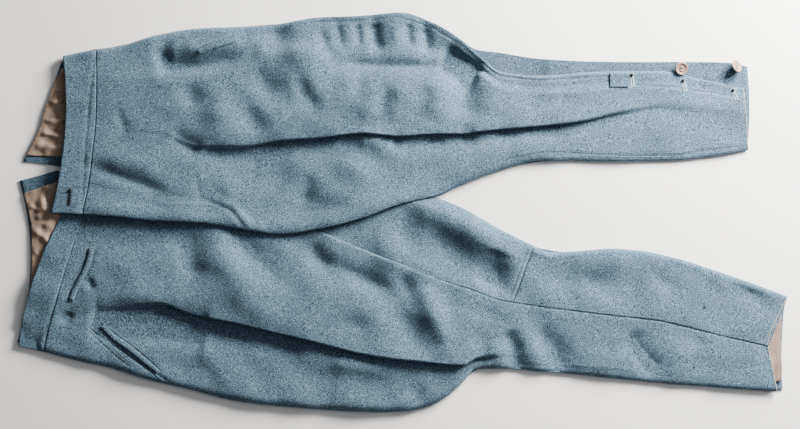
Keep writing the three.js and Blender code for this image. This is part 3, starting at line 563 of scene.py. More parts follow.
# %% [markdown]
# ## Cloths, thread and buttons as materials
# Horizon-blue cloth is spun from white, pale blue and dark blue wool mixed before spinning, then
# milled until the face felts over. What the eye sees is a fine speckle of pale and dark hairs with
# a matt, slightly furry surface. The speckle here is noise at the size of the fibres' tufts. Single
# hairs are too fine for the picture, so they are drawn about a millimetre long.

# %% Colours and one helper for nodes
def linear(code):
    parts = [int(code[place : place + 2], 16) / 255 for place in (1, 3, 5)]
    return [c / 12.92 if c <= 0.04045 else ((c + 0.055) / 1.055) ** 2.4 for c in parts] + [1.0]


def add_node(tree, kind, settings=None, links=None):
    node = tree.nodes.new(kind)
    for name, value in (settings or {}).items():
        if isinstance(name, int) or name in node.inputs:
            node.inputs[name].default_value = value
        else:
            setattr(node, name, value)
    for name, source in (links or {}).items():
        tree.links.new(source, node.inputs[name])
    return node


def start_material(name):
    material = bpy.data.materials.new(name)
    material.use_nodes = True
    tree = material.node_tree
    return material, tree, tree.nodes["Principled BSDF"]


def set_ramp(node, stops):
    ramp = node.color_ramp
    while len(ramp.elements) < len(stops):
        ramp.elements.new(0.5)
    for element, (position, code) in zip(ramp.elements, stops):
        element.position = position
        element.color = linear(code)


# %% Milled wool cloth
TUFT = 0.0009
HAIR = 0.0007


def milled_wool(name, dark, middle, pale, lift):
    material, tree, surface = start_material(name)
    place = add_node(tree, "ShaderNodeTexCoord").outputs["Object"]
    tufts = add_node(
        tree, "ShaderNodeTexNoise",
        {"Scale": 1 / TUFT, "Detail": 4.0, "Roughness": 0.72},
        {"Vector": place},
    )
    colour = add_node(tree, "ShaderNodeValToRGB", links={"Fac": tufts.outputs["Fac"]})
    set_ramp(colour, [(0.39, dark), (0.50, middle), (0.61, pale)])
    turned = add_node(
        tree, "ShaderNodeMapping",
        {"Rotation": (0.0, 0.0, 0.6), "Scale": (1.0, 3.2, 1.0)},
        {"Vector": place},
    )
    hairs = add_node(
        tree, "ShaderNodeTexNoise",
        {"Scale": 1 / HAIR, "Detail": 2.0, "Roughness": 0.6, "Distortion": 0.8},
        {"Vector": turned.outputs["Vector"]},
    )
    pale_hairs = add_node(
        tree, "ShaderNodeMapRange",
        {"From Min": 0.60, "From Max": 0.74, "To Min": 0.0, "To Max": 0.55},
        {"Value": hairs.outputs["Fac"]},
    )
    with_hairs = add_node(
        tree, "ShaderNodeMix",
        {"data_type": "RGBA", "blend_type": "MIX", 7: linear("#a9bfd0")},
        {0: pale_hairs.outputs["Result"], 6: colour.outputs["Color"]},
    )
    dark_hairs = add_node(
        tree, "ShaderNodeMapRange",
        {"From Min": 0.42, "From Max": 0.30, "To Min": 0.0, "To Max": 0.6},
        {"Value": hairs.outputs["Fac"]},
    )
    with_both = add_node(
        tree, "ShaderNodeMix",
        {"data_type": "RGBA", "blend_type": "MIX", 7: linear("#0a1826")},
        {0: dark_hairs.outputs["Result"], 6: with_hairs.outputs[2]},
    )
    clouds = add_node(
        tree, "ShaderNodeTexNoise", {"Scale": 14.0, "Detail": 3.0}, {"Vector": place}
    )
    cloud_tone = add_node(
        tree, "ShaderNodeMapRange",
        {"From Min": 0.3, "From Max": 0.7, "To Min": 0.9 * lift, "To Max": 1.08 * lift},
        {"Value": clouds.outputs["Fac"]},
    )
    toned = add_node(
        tree, "ShaderNodeVectorMath",
        {"operation": "SCALE"},
        {0: with_both.outputs[2], "Scale": cloud_tone.outputs["Result"]},
    )
    felt = add_node(
        tree, "ShaderNodeBump", {"Strength": 0.55, "Distance": 0.0006},
        {"Height": tufts.outputs["Fac"]},
    )
    nap = add_node(
        tree, "ShaderNodeBump", {"Strength": 0.4, "Distance": 0.0003},
        {"Height": hairs.outputs["Fac"], "Normal": felt.outputs["Normal"]},
    )
    tree.links.new(toned.outputs["Vector"], surface.inputs["Base Color"])
    tree.links.new(nap.outputs["Normal"], surface.inputs["Normal"])
    surface.inputs["Roughness"].default_value = 0.95
    surface.inputs["Specular IOR Level"].default_value = 0.18
    surface.inputs["Sheen Weight"].default_value = 0.22
    surface.inputs["Sheen Roughness"].default_value = 0.5
    surface.inputs["Sheen Tint"].default_value = linear("#c9d6de")
    return material


wool = milled_wool("milled_wool", "#051320", "#274459", "#8aabc2", 0.9)
# A darker copy of the same wool: painted shade for the backs and the folded layers under the fronts. The
# placket patch is drawn with it too.
wool_in_painted_shade = milled_wool("milled_wool_painted_shade", "#061624", "#28455c", "#839fb4", 0.85)

# %% [markdown]
# The waist is lined with brown cotton sateen. Its long floats lie side by side and catch the light,
# so it shines softly along every wrinkle. The hem facing is a ribbed tan cotton: fine cords one
# beside the other, which the light picks out as stripes.

# %% Sateen, ribbed facing, thread and button
RIB_PITCH = 0.0016
WEAVE_PITCH = 0.0009


def woven(name, base, shade, pitch, direction, rough, sheen, bump):
    material, tree, surface = start_material(name)
    place = add_node(tree, "ShaderNodeTexCoord").outputs["Object"]
    ribs = add_node(
        tree, "ShaderNodeTexWave",
        {"wave_type": "BANDS", "bands_direction": direction, "Scale": 1 / pitch / 3.2,
         "Distortion": 1.2, "Detail": 2.0, "Detail Scale": 0.6},
        {"Vector": place},
    )
    spots = add_node(tree, "ShaderNodeTexNoise", {"Scale": 90.0, "Detail": 4.0}, {"Vector": place})
    both = add_node(
        tree, "ShaderNodeMath", {"operation": "MULTIPLY"},
        {0: ribs.outputs["Fac"], 1: spots.outputs["Fac"]},
    )
    colour = add_node(tree, "ShaderNodeValToRGB", links={"Fac": both.outputs["Value"]})
    set_ramp(colour, [(0.08, shade), (0.5, base)])
    relief = add_node(
        tree, "ShaderNodeBump", {"Strength": bump, "Distance": 0.0003},
        {"Height": ribs.outputs["Fac"]},
    )
    tree.links.new(colour.outputs["Color"], surface.inputs["Base Color"])
    tree.links.new(relief.outputs["Normal"], surface.inputs["Normal"])
    surface.inputs["Roughness"].default_value = rough
    surface.inputs["Specular IOR Level"].default_value = 0.4
    surface.inputs["Sheen Weight"].default_value = sheen
    surface.inputs["Sheen Roughness"].default_value = 0.35
    return material


sateen = woven("cotton_sateen", "#b7a290", "#5d4c40", WEAVE_PITCH, "DIAGONAL", 0.33, 0.35, 0.25)
ribbed = woven("ribbed_cotton", "#a8948a", "#66554d", RIB_PITCH, "X", 0.7, 0.2, 0.9)
fly_tape = woven("fly_facing_cotton", "#8f8074", "#5f544c", WEAVE_PITCH, "Y", 0.7, 0.2, 0.4)


def plain(name, colour, rough, speckle, scale, specular=0.4):
    material, tree, surface = start_material(name)
    place = add_node(tree, "ShaderNodeTexCoord").outputs["Object"]
    grain = add_node(tree, "ShaderNodeTexNoise", {"Scale": scale, "Detail": 5.0}, {"Vector": place})
    ramp = add_node(tree, "ShaderNodeValToRGB", links={"Fac": grain.outputs["Fac"]})
    set_ramp(ramp, [(0.3, speckle), (0.65, colour)])
    relief = add_node(
        tree, "ShaderNodeBump", {"Strength": 0.25, "Distance": 0.0002},
        {"Height": grain.outputs["Fac"]},
    )
    tree.links.new(ramp.outputs["Color"], surface.inputs["Base Color"])
    tree.links.new(relief.outputs["Normal"], surface.inputs["Normal"])
    surface.inputs["Roughness"].default_value = rough
    surface.inputs["Specular IOR Level"].default_value = specular
    return material


thread_blue = plain("cotton_thread_blue", "#8298a6", 0.8, "#566b79", 900.0, 0.2)
thread_button = plain("button_thread", "#b9a79c", 0.8, "#7a6a62", 900.0, 0.2)
# Painted shade: a near-black material for the buttonhole slits and eyes and for the moth holes.
opening_painted_shade = plain("painted_slit_and_hole_shade", "#1d262d", 0.95, "#10161b", 700.0, 0.1)
thread_dark = plain("cotton_thread_dark", "#2f343a", 0.8, "#17191c", 900.0, 0.2)
composition = plain("pressed_composition", "#937a70", 0.42, "#63503f", 500.0)
thread_pale = plain("cotton_thread_pale", "#b7c4cb", 0.8, "#8796a0", 900.0, 0.2)
# Painted shade: near-black beads laid along the sunken seams draw the shadow in their grooves.
seam_shadow_paint = plain("painted_seam_shadow", "#2c3c49", 0.85, "#18232c", 900.0, 0.1)
edge_cord = plain("hem_edge_cotton", "#c9bcae", 0.8, "#8d7d70", 900.0, 0.2)

# %% [markdown]
# ## Cutting the fronts
# One section of a front is a line of points: over the thigh to the lap, round the lap's bend, back
# along the tuck, round the second bend and on to the lower edge. Rows of sections make a grid. The
# creases are pressed into it last. Round the bend the pressed height goes over evenly from the upper
# layer's to the lower layer's, or the lap would tear.

# %% Middle surface of a front
UPPER_COLUMNS = 64
BEND_COLUMNS = 8
LOWER_COLUMNS = 38
ROW_STEP = 2.4


def front_grid(panel, relief, row_step):
    rows = []
    half = (np.arange(BEND_COLUMNS) + 0.5) / BEND_COLUMNS
    for at in even_sections(panel, row_step):
        section = section_at(panel, at)
        lap = lap_shape(section)
        upper_y = mix(section["yUp"], lap["start"], spread(UPPER_COLUMNS))
        upper_z = upper_height(section, upper_y)
        small_turn = lap["turn"] / BEND_COLUMNS / 2
        arc = np.full(BEND_COLUMNS, FOLD_BEND / BEND_COLUMNS * math.sin(small_turn) / small_turn)
        length = np.concatenate([arc, [section["tuck"]], arc])
        heading = lap["turn"] * np.concatenate([half, [1.0], half[::-1]])
        bend_y = lap["start"] - np.cumsum(np.cos(heading) * length)
        bend_z = section["zLap"] - np.cumsum(np.sin(heading) * length)
        lower_y = mix(bend_y[-1], section["yLow"], spread(LOWER_COLUMNS))[1:]
        lower_z = lower_height(section, lower_y)
        y = np.concatenate([upper_y, bend_y, lower_y])
        z = np.concatenate([upper_z, bend_z, lower_z])
        rows.append(np.stack([across_x(section, y), y, z], axis=1))
    grid = np.array(rows)
    pressed = relief(grid[:, :, 0], grid[:, :, 1])
    first = UPPER_COLUMNS
    last = first + 2 * BEND_COLUMNS + 1
    blend = np.linspace(0, 1, last - first + 1)
    before, after = pressed[:, first : first + 1], pressed[:, last : last + 1]
    pressed[:, first : last + 1] = mix(before, after, blend)
    grid[:, :, 2] = np.maximum(grid[:, :, 2] + pressed, SEAT)
    return grid


# %% The left front
SEAMS_LEFT = creases_of([
    (3.4, -0.9, [(-396, 178), (-366, 183), (-340, 190), (-312, 195)]),
    (3.6, -1.0, [(-430, 30), (-392, 31), (-340, 25), (-314, 21), (-262, 18), (-240, 14),
     (-222, 5), (-211, -8), (-202, -20)], 0.04),
    (10, 0.9, [(-330, 15), (-262, 10), (-236, 4), (-222, -6), (-212, -16)]),
    (8, 1.7, [(-250, 20), (-236, 16), (-217, 8), (-206, -4), (-197, -17)], 0.15),
    (3.8, -1.1, [(128, 68), (154, 72), (180, 77), (206, 78), (258, 75), (310, 74), (362, 75),
     (388, 79), (446, 87)], 0.04),
    (3.6, -0.9, [(300, 165), (352, 163), (388, 157), (440, 150)], 0.04),
    (3.6, -0.9, [(-132, 243), (-106, 247), (-54, 249), (-2, 253), (41, 240), (76, 219),
     (102, 196), (128, 177), (180, 171), (232, 175), (280, 177)], 0.04),
    (3.4, -0.8, [(-396, 211), (-404, 150), (-409, 90), (-413, 20), (-414, 0)], 0.03),
])
BROAD_LEFT, BROAD_RIGHT, BROAD_INNER = 1.3, 1.3, 1.1


def relief_left(x, y):
    return press(CREASES_LEFT + SEAMS_LEFT, x, y) + undulation(x, y, 3, BROAD_LEFT)


left_grid = front_grid(FRONT_LEFT, relief_left, ROW_STEP)
add_cloth(
    "front_left_cloth", left_grid, CLOTH, "wool", wool, ["front_left"],
)

# %% The fly facing behind the left front
FLY_FACING_WIDTH = 28.0
FLY_FACING_END = 3.9
facing_rows = []
for at in np.linspace(0, FLY_FACING_END, 90):
    section = section_at(FRONT_LEFT, at)
    y = section["yLow"] + np.linspace(FLY_FACING_WIDTH, 1.2, 14)
    x = across_x(section, y)
    z = lower_height(section, y) + relief_left(x, y) - (CLOTH + FACING) / 2 - SEAM_GAP
    facing_rows.append(np.stack([x, y, np.maximum(z, SEAT)], axis=1))
add_cloth(
    "fly_facing_cloth", np.array(facing_rows), FACING, "facing", fly_tape, ["fly_facing_left"],
)

# %% The right front
SEAMS_RIGHT = creases_of([
    (4.5, -1.6, [(-404, -148), (-378, -166), (-350, -186), (-330, -200), (-302, -218)], 0.05),
    (3.2, -0.9, [(-393, -141), (-374, -153), (-350, -171), (-326, -191), (-312, -204)], 0.05),
    (3.2, -0.9, [(-409, -150), (-392, -165), (-366, -188), (-348, -200)], 0.05),
    (3.4, -1.2, [(-406, -47), (-409, -60), (-414, -74), (-420, -86), (-428, -101),
     (-433, -113)], 0.05),
    (3.2, -0.9, [(-397, -47), (-399, -58), (-404, -71), (-410, -83), (-418, -98),
     (-423, -112)], 0.05),
    (3.4, -0.8, [(-408, 8), (-418, -29), (-436, -80), (-458, -140), (-465, -178)], 0.03),
    (3.2, -0.7, [(-440, -29), (-397, -29)]),
    (3.6, -0.8, [(-109, -23), (-54, -46), (-2, -66), (50, -87), (92, -100), (128, -113),
     (180, -121), (258, -131), (336, -140), (414, -159), (476, -173)], 0.03),
])


def relief_right(x, y):
    return press(CREASES_RIGHT + SEAMS_RIGHT, x, y) + undulation(x, y, 8, BROAD_RIGHT)


right_grid = front_grid(FRONT_RIGHT, relief_right, ROW_STEP)
add_cloth(
    "front_right_cloth", right_grid, CLOTH, "wool", wool, ["front_right"],
)

# %% [markdown]
# ## The right inner leg
# The leg has rolled a little, so the back's inner side comes over to the front above the inseam. It
# is two pieces, joined at the knee. Both end just above the front's edge, whose table gives the seam.

# %% The inner leg's two pieces
INSEAM_ROOM = 0.9
INNER_THIGH = table(
    "xUp yUp xLow zUp zCrown rollUp",
    [
        [-132, 7, -132, 3.4, 4.4, 6],
        [-93, 13, -93, 3.4, 4.8, 8],
        [-54, 18, -54, 3.4, 4.6, 20],
        [-2, 27, -2, 3.4, 5.2, 34],
        [41, 20, 41, SEAT, 8, 24],
        [76, 7, 72, SEAT, 10, 12],
        [102, -7, 92, SEAT, 10.6, 10],
        [128, -22, 112, SEAT, 10.6, 10],
        [154, -35, 131, SEAT, 10.2, 10],
        [170, -43, 144, SEAT, 10, 10],
    ],
)
INNER_CALF = table(
    "xUp yUp xLow zUp zCrown rollUp",
    [
        [170.3, -43, 144.3, SEAT, 10, 10],
        [195, -52, 172, SEAT, 9.8, 9],
        [232, -50, 215, SEAT, 9.4, 9],
        [271, -47, 258, SEAT, 8.9, 9],
        [310, -50, 300, SEAT, 8.4, 9],
        [362, -61, 350, SEAT, 7.8, 8],
        [414, -78, 398, SEAT, 7.2, 8],
        [466, -96, 444, SEAT, 6.6, 8],
        [501, -109, 476, SEAT, 6.2, 7],
    ],
)


def inseam_at(x):
    fine = fine_places(FRONT_RIGHT)
    at = np.interp(x, smooth_at(FRONT_RIGHT["xUp"], fine), fine)
    y, z = smooth_at(FRONT_RIGHT["yUp"], at), smooth_at(FRONT_RIGHT["zUp"], at)
    return y, z + relief_right(np.array([x]), np.array([y]))[0]


SEAMS_INNER = creases_of([
    (3.6, -1.0, [(165, -41), (157, -66), (147, -92), (138, -112)], 0.05),
    (4.0, -0.9, [(171, -43), (162, -68), (153, -92), (145, -113)], 0.05),
])


def relief_inner(x, y):
    return press(CREASES_INNER + SEAMS_INNER, x, y) + undulation(x, y, 21, BROAD_INNER)


EDGE_CALM = 2.4


def inner_leg_grid(panel, columns, row_step):
    rows = []
    for at in even_sections(panel, row_step):
        section = section_at(panel, at)
        seam_y, seam_z = inseam_at(section["xLow"])
        part = spread(columns)
        y = mix(section["yUp"], seam_y + SEAM_GAP, part)
        x = mix(section["xUp"], section["xLow"], part)
        to_seam = mix(section["zCrown"], seam_z + INSEAM_ROOM, eased(part))
        z = rolled(section["zUp"], to_seam, section["yUp"] - y, TIGHTER * section["rollUp"])
        inside = np.minimum(EDGE_CALM * np.sin(np.pi * part), 1)
        z = np.maximum(z + relief_inner(x, y) * inside, SEAT)
        rows.append(np.stack([x, y, z], axis=1))
    return np.array(rows)


thigh_grid = inner_leg_grid(INNER_THIGH, 48, 2.2)
calf_grid = inner_leg_grid(INNER_CALF, 44, 2.6)
add_cloth(
    "inner_leg_thigh_cloth", thigh_grid, CLOTH, "wool", wool, ["inner_leg_thigh_right"],
)
add_cloth(
    "inner_leg_calf_cloth", calf_grid, CLOTH, "wool", wool, ["inner_leg_calf_right"],
)

# %% [markdown]
# ## Waistbands
# Each band is doubled cloth, seamed to the front's top edge and stitched along its own upper edge.
# It is built from the front's first section carried on to the waist edge, a little thicker.

# %% The two waistbands
BAND_THICKNESS = 2.6
BAND_RISE = 0.2
SEAM_SINK = 0.2
SINK_WIDTH = 3 / 1.6
BAND_COLUMNS = 110
BAND_EDGE_LEFT = {"xUp": -439, "yUp": 203, "xLow": -454, "yLow": 1, "bow": 10}
BAND_EDGE_RIGHT = {"xUp": -434, "yUp": 10, "xLow": -497, "yLow": -172, "bow": -10}


def section_height(section, y):
    return np.where(y > lap_shape(section)["start"], upper_height(section, y), lower_height(section, y))


def band_grid(panel, edge, relief, rows):
    seam = section_at(panel, 0)
    part = spread(BAND_COLUMNS)
    seam_y = mix(seam["yUp"], seam["yLow"], part)
    seam_x = across_x(seam, seam_y)
    height = section_height(seam, seam_y) + BAND_RISE
    edge_x = mix(edge["xUp"], edge["xLow"], part) + 4 * part * (1 - part) * edge["bow"]
    edge_y = mix(edge["yUp"], edge["yLow"], part)
    grid = []
    for down in np.linspace(0, 1, rows + 1):
        x = mix(edge_x, seam_x - SEAM_GAP, down)
        y = mix(edge_y, seam_y, down)
        sunk = SEAM_SINK * math.exp(-(((1 - down) * rows / SINK_WIDTH) ** 2))
        z = np.maximum(height - sunk + relief(x, y), SEAT + SEAM_GAP)
        grid.append(np.stack([x, y, z], axis=1))
    return np.array(grid)


band_left_grid = band_grid(FRONT_LEFT, BAND_EDGE_LEFT, relief_left, 22)
band_right_grid = band_grid(FRONT_RIGHT, BAND_EDGE_RIGHT, relief_right, 28)
add_cloth(
    "waistband_left_cloth", band_left_grid, BAND_THICKNESS, "wool", wool, ["waistband_left"],
)
add_cloth(
    "waistband_right_cloth", band_right_grid, BAND_THICKNESS, "wool", wool, ["waistband_right"],
)

# %% [markdown]
# ## Backs
# The two backs lie flat on the table and carry the rest. They show at the raised back waist, along
# the ankle of the left leg where they carry the buttons, and past the right hem.

# %% Pattern of the two backs
BACK_COLUMNS = "xUp yUp xLow yLow bow"
BACK_LEFT = table(
    BACK_COLUMNS,
    [
        [-491, 69.2, -489.5, 66.6, 0],
        [-483, 79, -480, 66.2, 0],
        [-474, 95, -472, 65, 0],
        [-466, 114, -464, 63.8, 0],
        [-457, 151, -455, 62.4, 0],
        [-449, 174, -448, 61.2, 0],
        [-438, 200, -438, 59.8, 0],
        [-396, 211, -396, 56.5, 0],
        [-340, 223, -340, 52, 0],
        [-288, 237, -288, 48, 0],
        [-236, 241, -236, 44, 0],
        [-184, 241, -184, 40, 0],
        [-106, 253, -106, 34, 0],
        [-54, 256, -54, 29.6, 0],
        [-2, 259, -2, 25.4, 0],
        [41, 246, 41, 22, 0],
        [76, 226, 76, 36, 0],
        [98, 212, 98, 45.5, 0],
        [128, 208, 128, 56, 0],
        [180, 200, 180, 67, 0],
        [232, 197, 232, 68.5, 0],
        [310, 196, 310, 68, 0],
        [388, 196, 388, 72.5, 0],
        [426, 195, 426, 78, 0],
        [449, 190, 449, 82, 3],
    ],
)
BACK_RIGHT = table(
    BACK_COLUMNS,
    [
        [-496, 42, -499, -168, 16],
        [-468, 49, -470, -179, 8],
        [-441, 55, -441, -184.5, 0],
        [-392, 51.6, -392, -196, 0],
        [-340, 48, -340, -212, 0],
        [-288, 44.2, -288, -225, 0],
        [-236, 40.6, -236, -239, 0],
        [-184, 36.8, -184, -248, 0],
        [-132, 33.2, -132, -252, 0],
        [-80, 29.6, -80, -256, 0],
        [-28, 25.8, -28, -258.8, 0],
        [24, 22.2, 24, -254, 0],
        [41, 21, 50, -242, 0],
        [63, 12, 68, -229, 0],
        [76, 7, 84, -214, 0],
        [102, -7, 104, -200.8, 0],
        [128, -22, 128, -201, 0],
        [154, -35, 154, -203, 0],
        [180, -46, 180, -205, 0],
        [219, -51, 219, -208.4, 0],
        [271, -47, 271, -213.8, 0],
        [310, -49, 310, -216.6, 0],
        [362, -61, 362, -220, 0],
        [414, -77, 414, -225.4, 0],
        [466, -96, 464, -230, 0],
        [499, -108, 495, -229, -3],
    ],
)


BACK_COLUMN_COUNT = 60
LIFTS_LEFT = creases_of([
    (44, 3.4, [(176, 196), (240, 194)], 0.3),
    (40, 1.6, [(330, 196), (380, 192)], 0.3),
])


def back_grid(panel, row_step, seed, lifts=()):
    rows = []
    for at in even_sections(panel, row_step):
        section = section_at(panel, at)
        y = mix(section["yUp"], section["yLow"], spread(BACK_COLUMN_COUNT))
        x = across_x(section, y)
        lifted = np.maximum(undulation(x, y, seed, 0.5), 0) * 0.5 + press(lifts, x, y)
        rows.append(np.stack([x, y, CLOTH / 2 + lifted], axis=1))
    return np.array(rows)


back_left_grid = back_grid(BACK_LEFT, 4.0, 31, LIFTS_LEFT)
back_right_grid = back_grid(BACK_RIGHT, 5.0, 32)
add_cloth(
    "back_left_cloth", back_left_grid, CLOTH, "wool", wool_in_painted_shade, ["back_left"],
)
add_cloth(
    "back_right_cloth", back_right_grid, CLOTH, "wool", wool_in_painted_shade, ["back_right"],
)

# %% [markdown]
# ## The fullness folded away
# Between front and back each leg hides several folds of cloth. Nothing of them shows from above but
# a dark edge here and there, so one rounded body stands for them, stepped at its edges where the
# layers end one above the other. Its top follows the underside of the front, found from below.

# %% Folded layers
HIDDEN_LEFT = table(
    "x yHigh yLow",
    [[-372, 196, 20], [-314, 212, 20], [-262, 222, 20], [-210, 226, 20], [-158, 229, 20],
     [-106, 232, 34], [-54, 234, 38], [-2, 236, 46], [41, 224, 46], [76, 204, 54], [102, 182, 62],
     [128, 166, 70], [180, 160, 82], [232, 162, 82], [284, 164, 82], [330, 164, 84]],
)
HIDDEN_RIGHT = table(
    "x yHigh yLow",
    [[-372, -70, -180], [-314, -60, -198], [-262, -60, -214], [-210, -60, -228], [-158, -60, -236],
     [-106, -60, -240], [-54, -50, -242], [-2, -34, -242], [41, -14, -230], [76, -14, -206],
     [102, -28, -190], [128, -44, -188], [180, -62, -190], [232, -70, -196], [284, -68, -202],
     [336, -76, -206], [390, -92, -212]],
)
LAYER_COUNT = 7
LAYER_STEP = 2.2
LAYER_INSET = 5.0
LAYER_ROLL = 2.4
UNDER_ROOM = 0.7
OPEN_ROOM = 1.2
THINNEST = 0.25
HIDDEN_ROW_STEP = 4.0
HIDDEN_COLUMNS = 90
UPWARDS, DOWNWARDS = Vector((0, 0, 1)), Vector((0, 0, -1))


def tree_of(pieces):
    points, faces = [], []
    for piece in pieces:
        first = len(points)
        points += [vertex.co.copy() for vertex in piece.data.vertices]
        faces += [[first + place for place in face.vertices] for face in piece.data.polygons]
    return BVHTree.FromPolygons(points, faces)


def stepped_height(inset):
    parts = [min(max(inset - LAYER_INSET * layer, 0) / LAYER_ROLL, 1) for layer in range(LAYER_COUNT)]
    return sum(LAYER_STEP * math.sqrt(max(0.0, 1 - (1 - part) ** 2)) for part in parts)


def folded_top(ends, cover, bottom):
    last = len(ends["x"]) - 1
    count = int((ends["x"][-1] - ends["x"][0]) / HIDDEN_ROW_STEP)
    rows = []
    for at in np.linspace(0, last, count + 1):
        x, high, low = (float(smooth_at(ends[key], np.array(at))) for key in ("x", "yHigh", "yLow"))
        from_ends = min(at, last - at) * HIDDEN_ROW_STEP * 5
        row = []
        for part in spread(HIDDEN_COLUMNS):
            y = mix(high, low, part)
            hit = cover.ray_cast(lay_point(x, y, bottom), UPWARDS)[0]
            room = (hit.z / MM if hit else bottom + OPEN_ROOM) - UNDER_ROOM - bottom
            stack = stepped_height(min(high - y, y - low, from_ends))
            row.append((x, y, bottom + max(min(stack, room), THINNEST)))
        rows.append(row)
    return np.array(rows)


def folded_layers(name, node, ends, covers):
    bottom = BACK_TOP + SEAM_GAP
    grid = folded_top(ends, tree_of([made_pieces[one] for one in covers]), bottom)
    floor = grid.copy()
    floor[:, :, 2] = bottom
    rows, across = grid.shape[:2]
    under = rows * across
    rim = rim_of(rows, across)
    flat = rim[:, 0] * across + rim[:, 1]
    after = np.roll(flat, -1)
    top = grid_faces(rows, across)
    walls = np.stack([after, flat, flat + under, after + under], axis=-1)
    faces = np.concatenate([top, top[:, ::-1] + under, walls])
    points = np.concatenate([grid.reshape(-1, 3), floor.reshape(-1, 3)])
    points = (points + np.array([LAY_X, LAY_Y, 0])) * MM
    mesh = bpy.data.meshes.new(name)
    mesh.from_pydata([tuple(p) for p in points], [], [tuple(f) for f in faces.tolist()])
    smooth_faces(mesh)
    mesh.materials.append(wool_in_painted_shade)
    take_place(add_object(name, mesh), "wool", node)
    print(name, "highest point, mm:", round(grid[:, :, 2].max(), 1))


folded_layers("folded_layers_left", "folded_cloth_left", HIDDEN_LEFT, ["front_left_cloth"])
folded_layers(
    "folded_layers_right", "folded_cloth_right", HIDDEN_RIGHT,
    ["front_right_cloth", "inner_leg_thigh_cloth", "inner_leg_calf_cloth"],
)

# %% [markdown]
# ## What lies on the cloth
# Welts, stitches and buttons all lie on a panel, so each takes its height from the panel's own
# face. A ray sent straight down from above gives the point and the direction that the cloth faces
# there. Copying heights by hand would leave gaps or let the cloth poke through.

# %% Finding the face under a point
cloth_tree = tree_of(made_pieces.values())
RAY_START = 90


def face_under(x, y, tree=None):
    start = lay_point(x, y, RAY_START)
    place, normal, _, _ = (tree or cloth_tree).ray_cast(start, DOWNWARDS)
    if place is None:
        return Vector((start.x, start.y, 0.0)), UPWARDS
    return place, normal if normal.z > 0 else -normal


# A line through a few points, rounded, with points every `step` millimetres.
def route(points, step):
    knots = np.array(points, float)
    at = np.linspace(0, len(knots) - 1, 60 * (len(knots) - 1) + 1)
    fine = np.stack([smooth_at(knots[:, 0], at), smooth_at(knots[:, 1], at)], axis=1)
    passed = np.concatenate([[0], np.cumsum(np.hypot(*np.diff(fine, axis=0).T))])
    count = max(int(round(passed[-1] / step)), 1)
    even = np.linspace(0, passed[-1], count + 1)
    return np.stack([np.interp(even, passed, fine[:, axis]) for axis in (0, 1)], axis=1)


def resampled(line, count):
    places = np.linspace(0, 1, count), np.linspace(0, 1, len(line))
    return np.stack([np.interp(*places, line[:, axis]) for axis in (0, 1)], axis=1)


# %% [markdown]
# Each lining is a thin panel cut to the raised back waist and felled down by hand with dark thread.
# Sateen is stiffer than it is thick, so it holds sharp little wrinkles, which run in from the
# stitches. They are pressed in like the creases of the wool, only narrower.

# %% Back waist linings
LINING_MIDDLE = BACK_TOP + SEAM_GAP + FACING / 2
LINING_LEFT = {
    "out": [(-441, 187), (-449, 172), (-457, 150), (-464, 131), (-469, 112), (-478, 92), (-487, 75)],
    "in": [(-424, 187), (-424, 172), (-424, 150), (-424, 131), (-425, 112), (-427, 92), (-430, 73)],
}
LINING_RIGHT = {
    "out": [(-490, 25), (-483, -3), (-480, -22), (-480, -44), (-480, -66), (-481, -88), (-486, -111)],
    "in": [(-443, 42), (-440, 22), (-438, 0), (-438, -22), (-440, -44), (-443, -75), (-447, -105)],
}
WRINKLES_LEFT = creases_of([
    (7, 1.5, [(-466, 122), (-450, 118), (-436, 120)]),
    (6, -1.0, [(-464, 113), (-448, 108), (-436, 108)]),
    (6, 1.2, [(-470, 104), (-455, 102), (-440, 98)]),
    (6, 1.1, [(-459, 146), (-449, 143), (-438, 146)]),
    (5, -0.9, [(-462, 136), (-452, 133), (-442, 134)]),
    (5, 1.0, [(-452, 162), (-444, 158), (-434, 160)]),
    (9, 1.1, [(-478, 84), (-460, 88), (-444, 84)]),
])
WRINKLES_RIGHT = creases_of([
    (7, 1.4, [(-486, 10), (-470, 4), (-458, 6)]),
    (6, -0.9, [(-484, -4), (-470, -10), (-456, -8)]),
    (8, 1.3, [(-482, -20), (-468, -28), (-456, -40)]),
    (6, 1.0, [(-481, -48), (-470, -56), (-462, -70)]),
    (7, 1.1, [(-482, -78), (-474, -86), (-464, -100)]),
    (12, 1.0, [(-470, 22), (-462, 2), (-460, -24)]),
])


LINING_STEP = 1.6
LINING_ROWS = 34
LINING_LIFT = 0.35
WRINKLE_HEIGHT = 1.6
FELLED_RISE = 1.6
PUCKER_HEIGHT = 0.25
PUCKER_PITCH = 6.3


def lining_grid(ends, wrinkles, seed):
    outer = route(ends["out"], LINING_STEP)
    inner = resampled(route(ends["in"], LINING_STEP), len(outer))
    rows = []
    for part in np.linspace(0, 1, LINING_ROWS):
        line = mix(outer, inner, part)
        x, y = line[:, 0], line[:, 1]
        hill = press(wrinkles, x, y) * WRINKLE_HEIGHT + undulation(x, y, seed, 1.2, 24.0, 8.0)
        felled = math.sin(math.pi * min(part * FELLED_RISE, 0.5))
        puckers = PUCKER_HEIGHT * np.sin(y * 2 * np.pi / PUCKER_PITCH) * math.exp(-part * 16)
        height = LINING_MIDDLE + LINING_LIFT + np.maximum(hill + 0.5, -0.2) * felled + puckers
        rows.append(np.stack([x, y, height], axis=1))
    return np.array(rows)


lining_left_grid = lining_grid(LINING_LEFT, WRINKLES_LEFT, 41)
lining_right_grid = lining_grid(LINING_RIGHT, WRINKLES_RIGHT, 42)
add_cloth(
    "back_lining_left_cloth", lining_left_grid, FACING / 2, "sateen", sateen, ["back_lining_left"],
)
add_cloth(
    "back_lining_right_cloth", lining_right_grid, FACING / 2, "sateen", sateen, ["back_lining_right"],
)

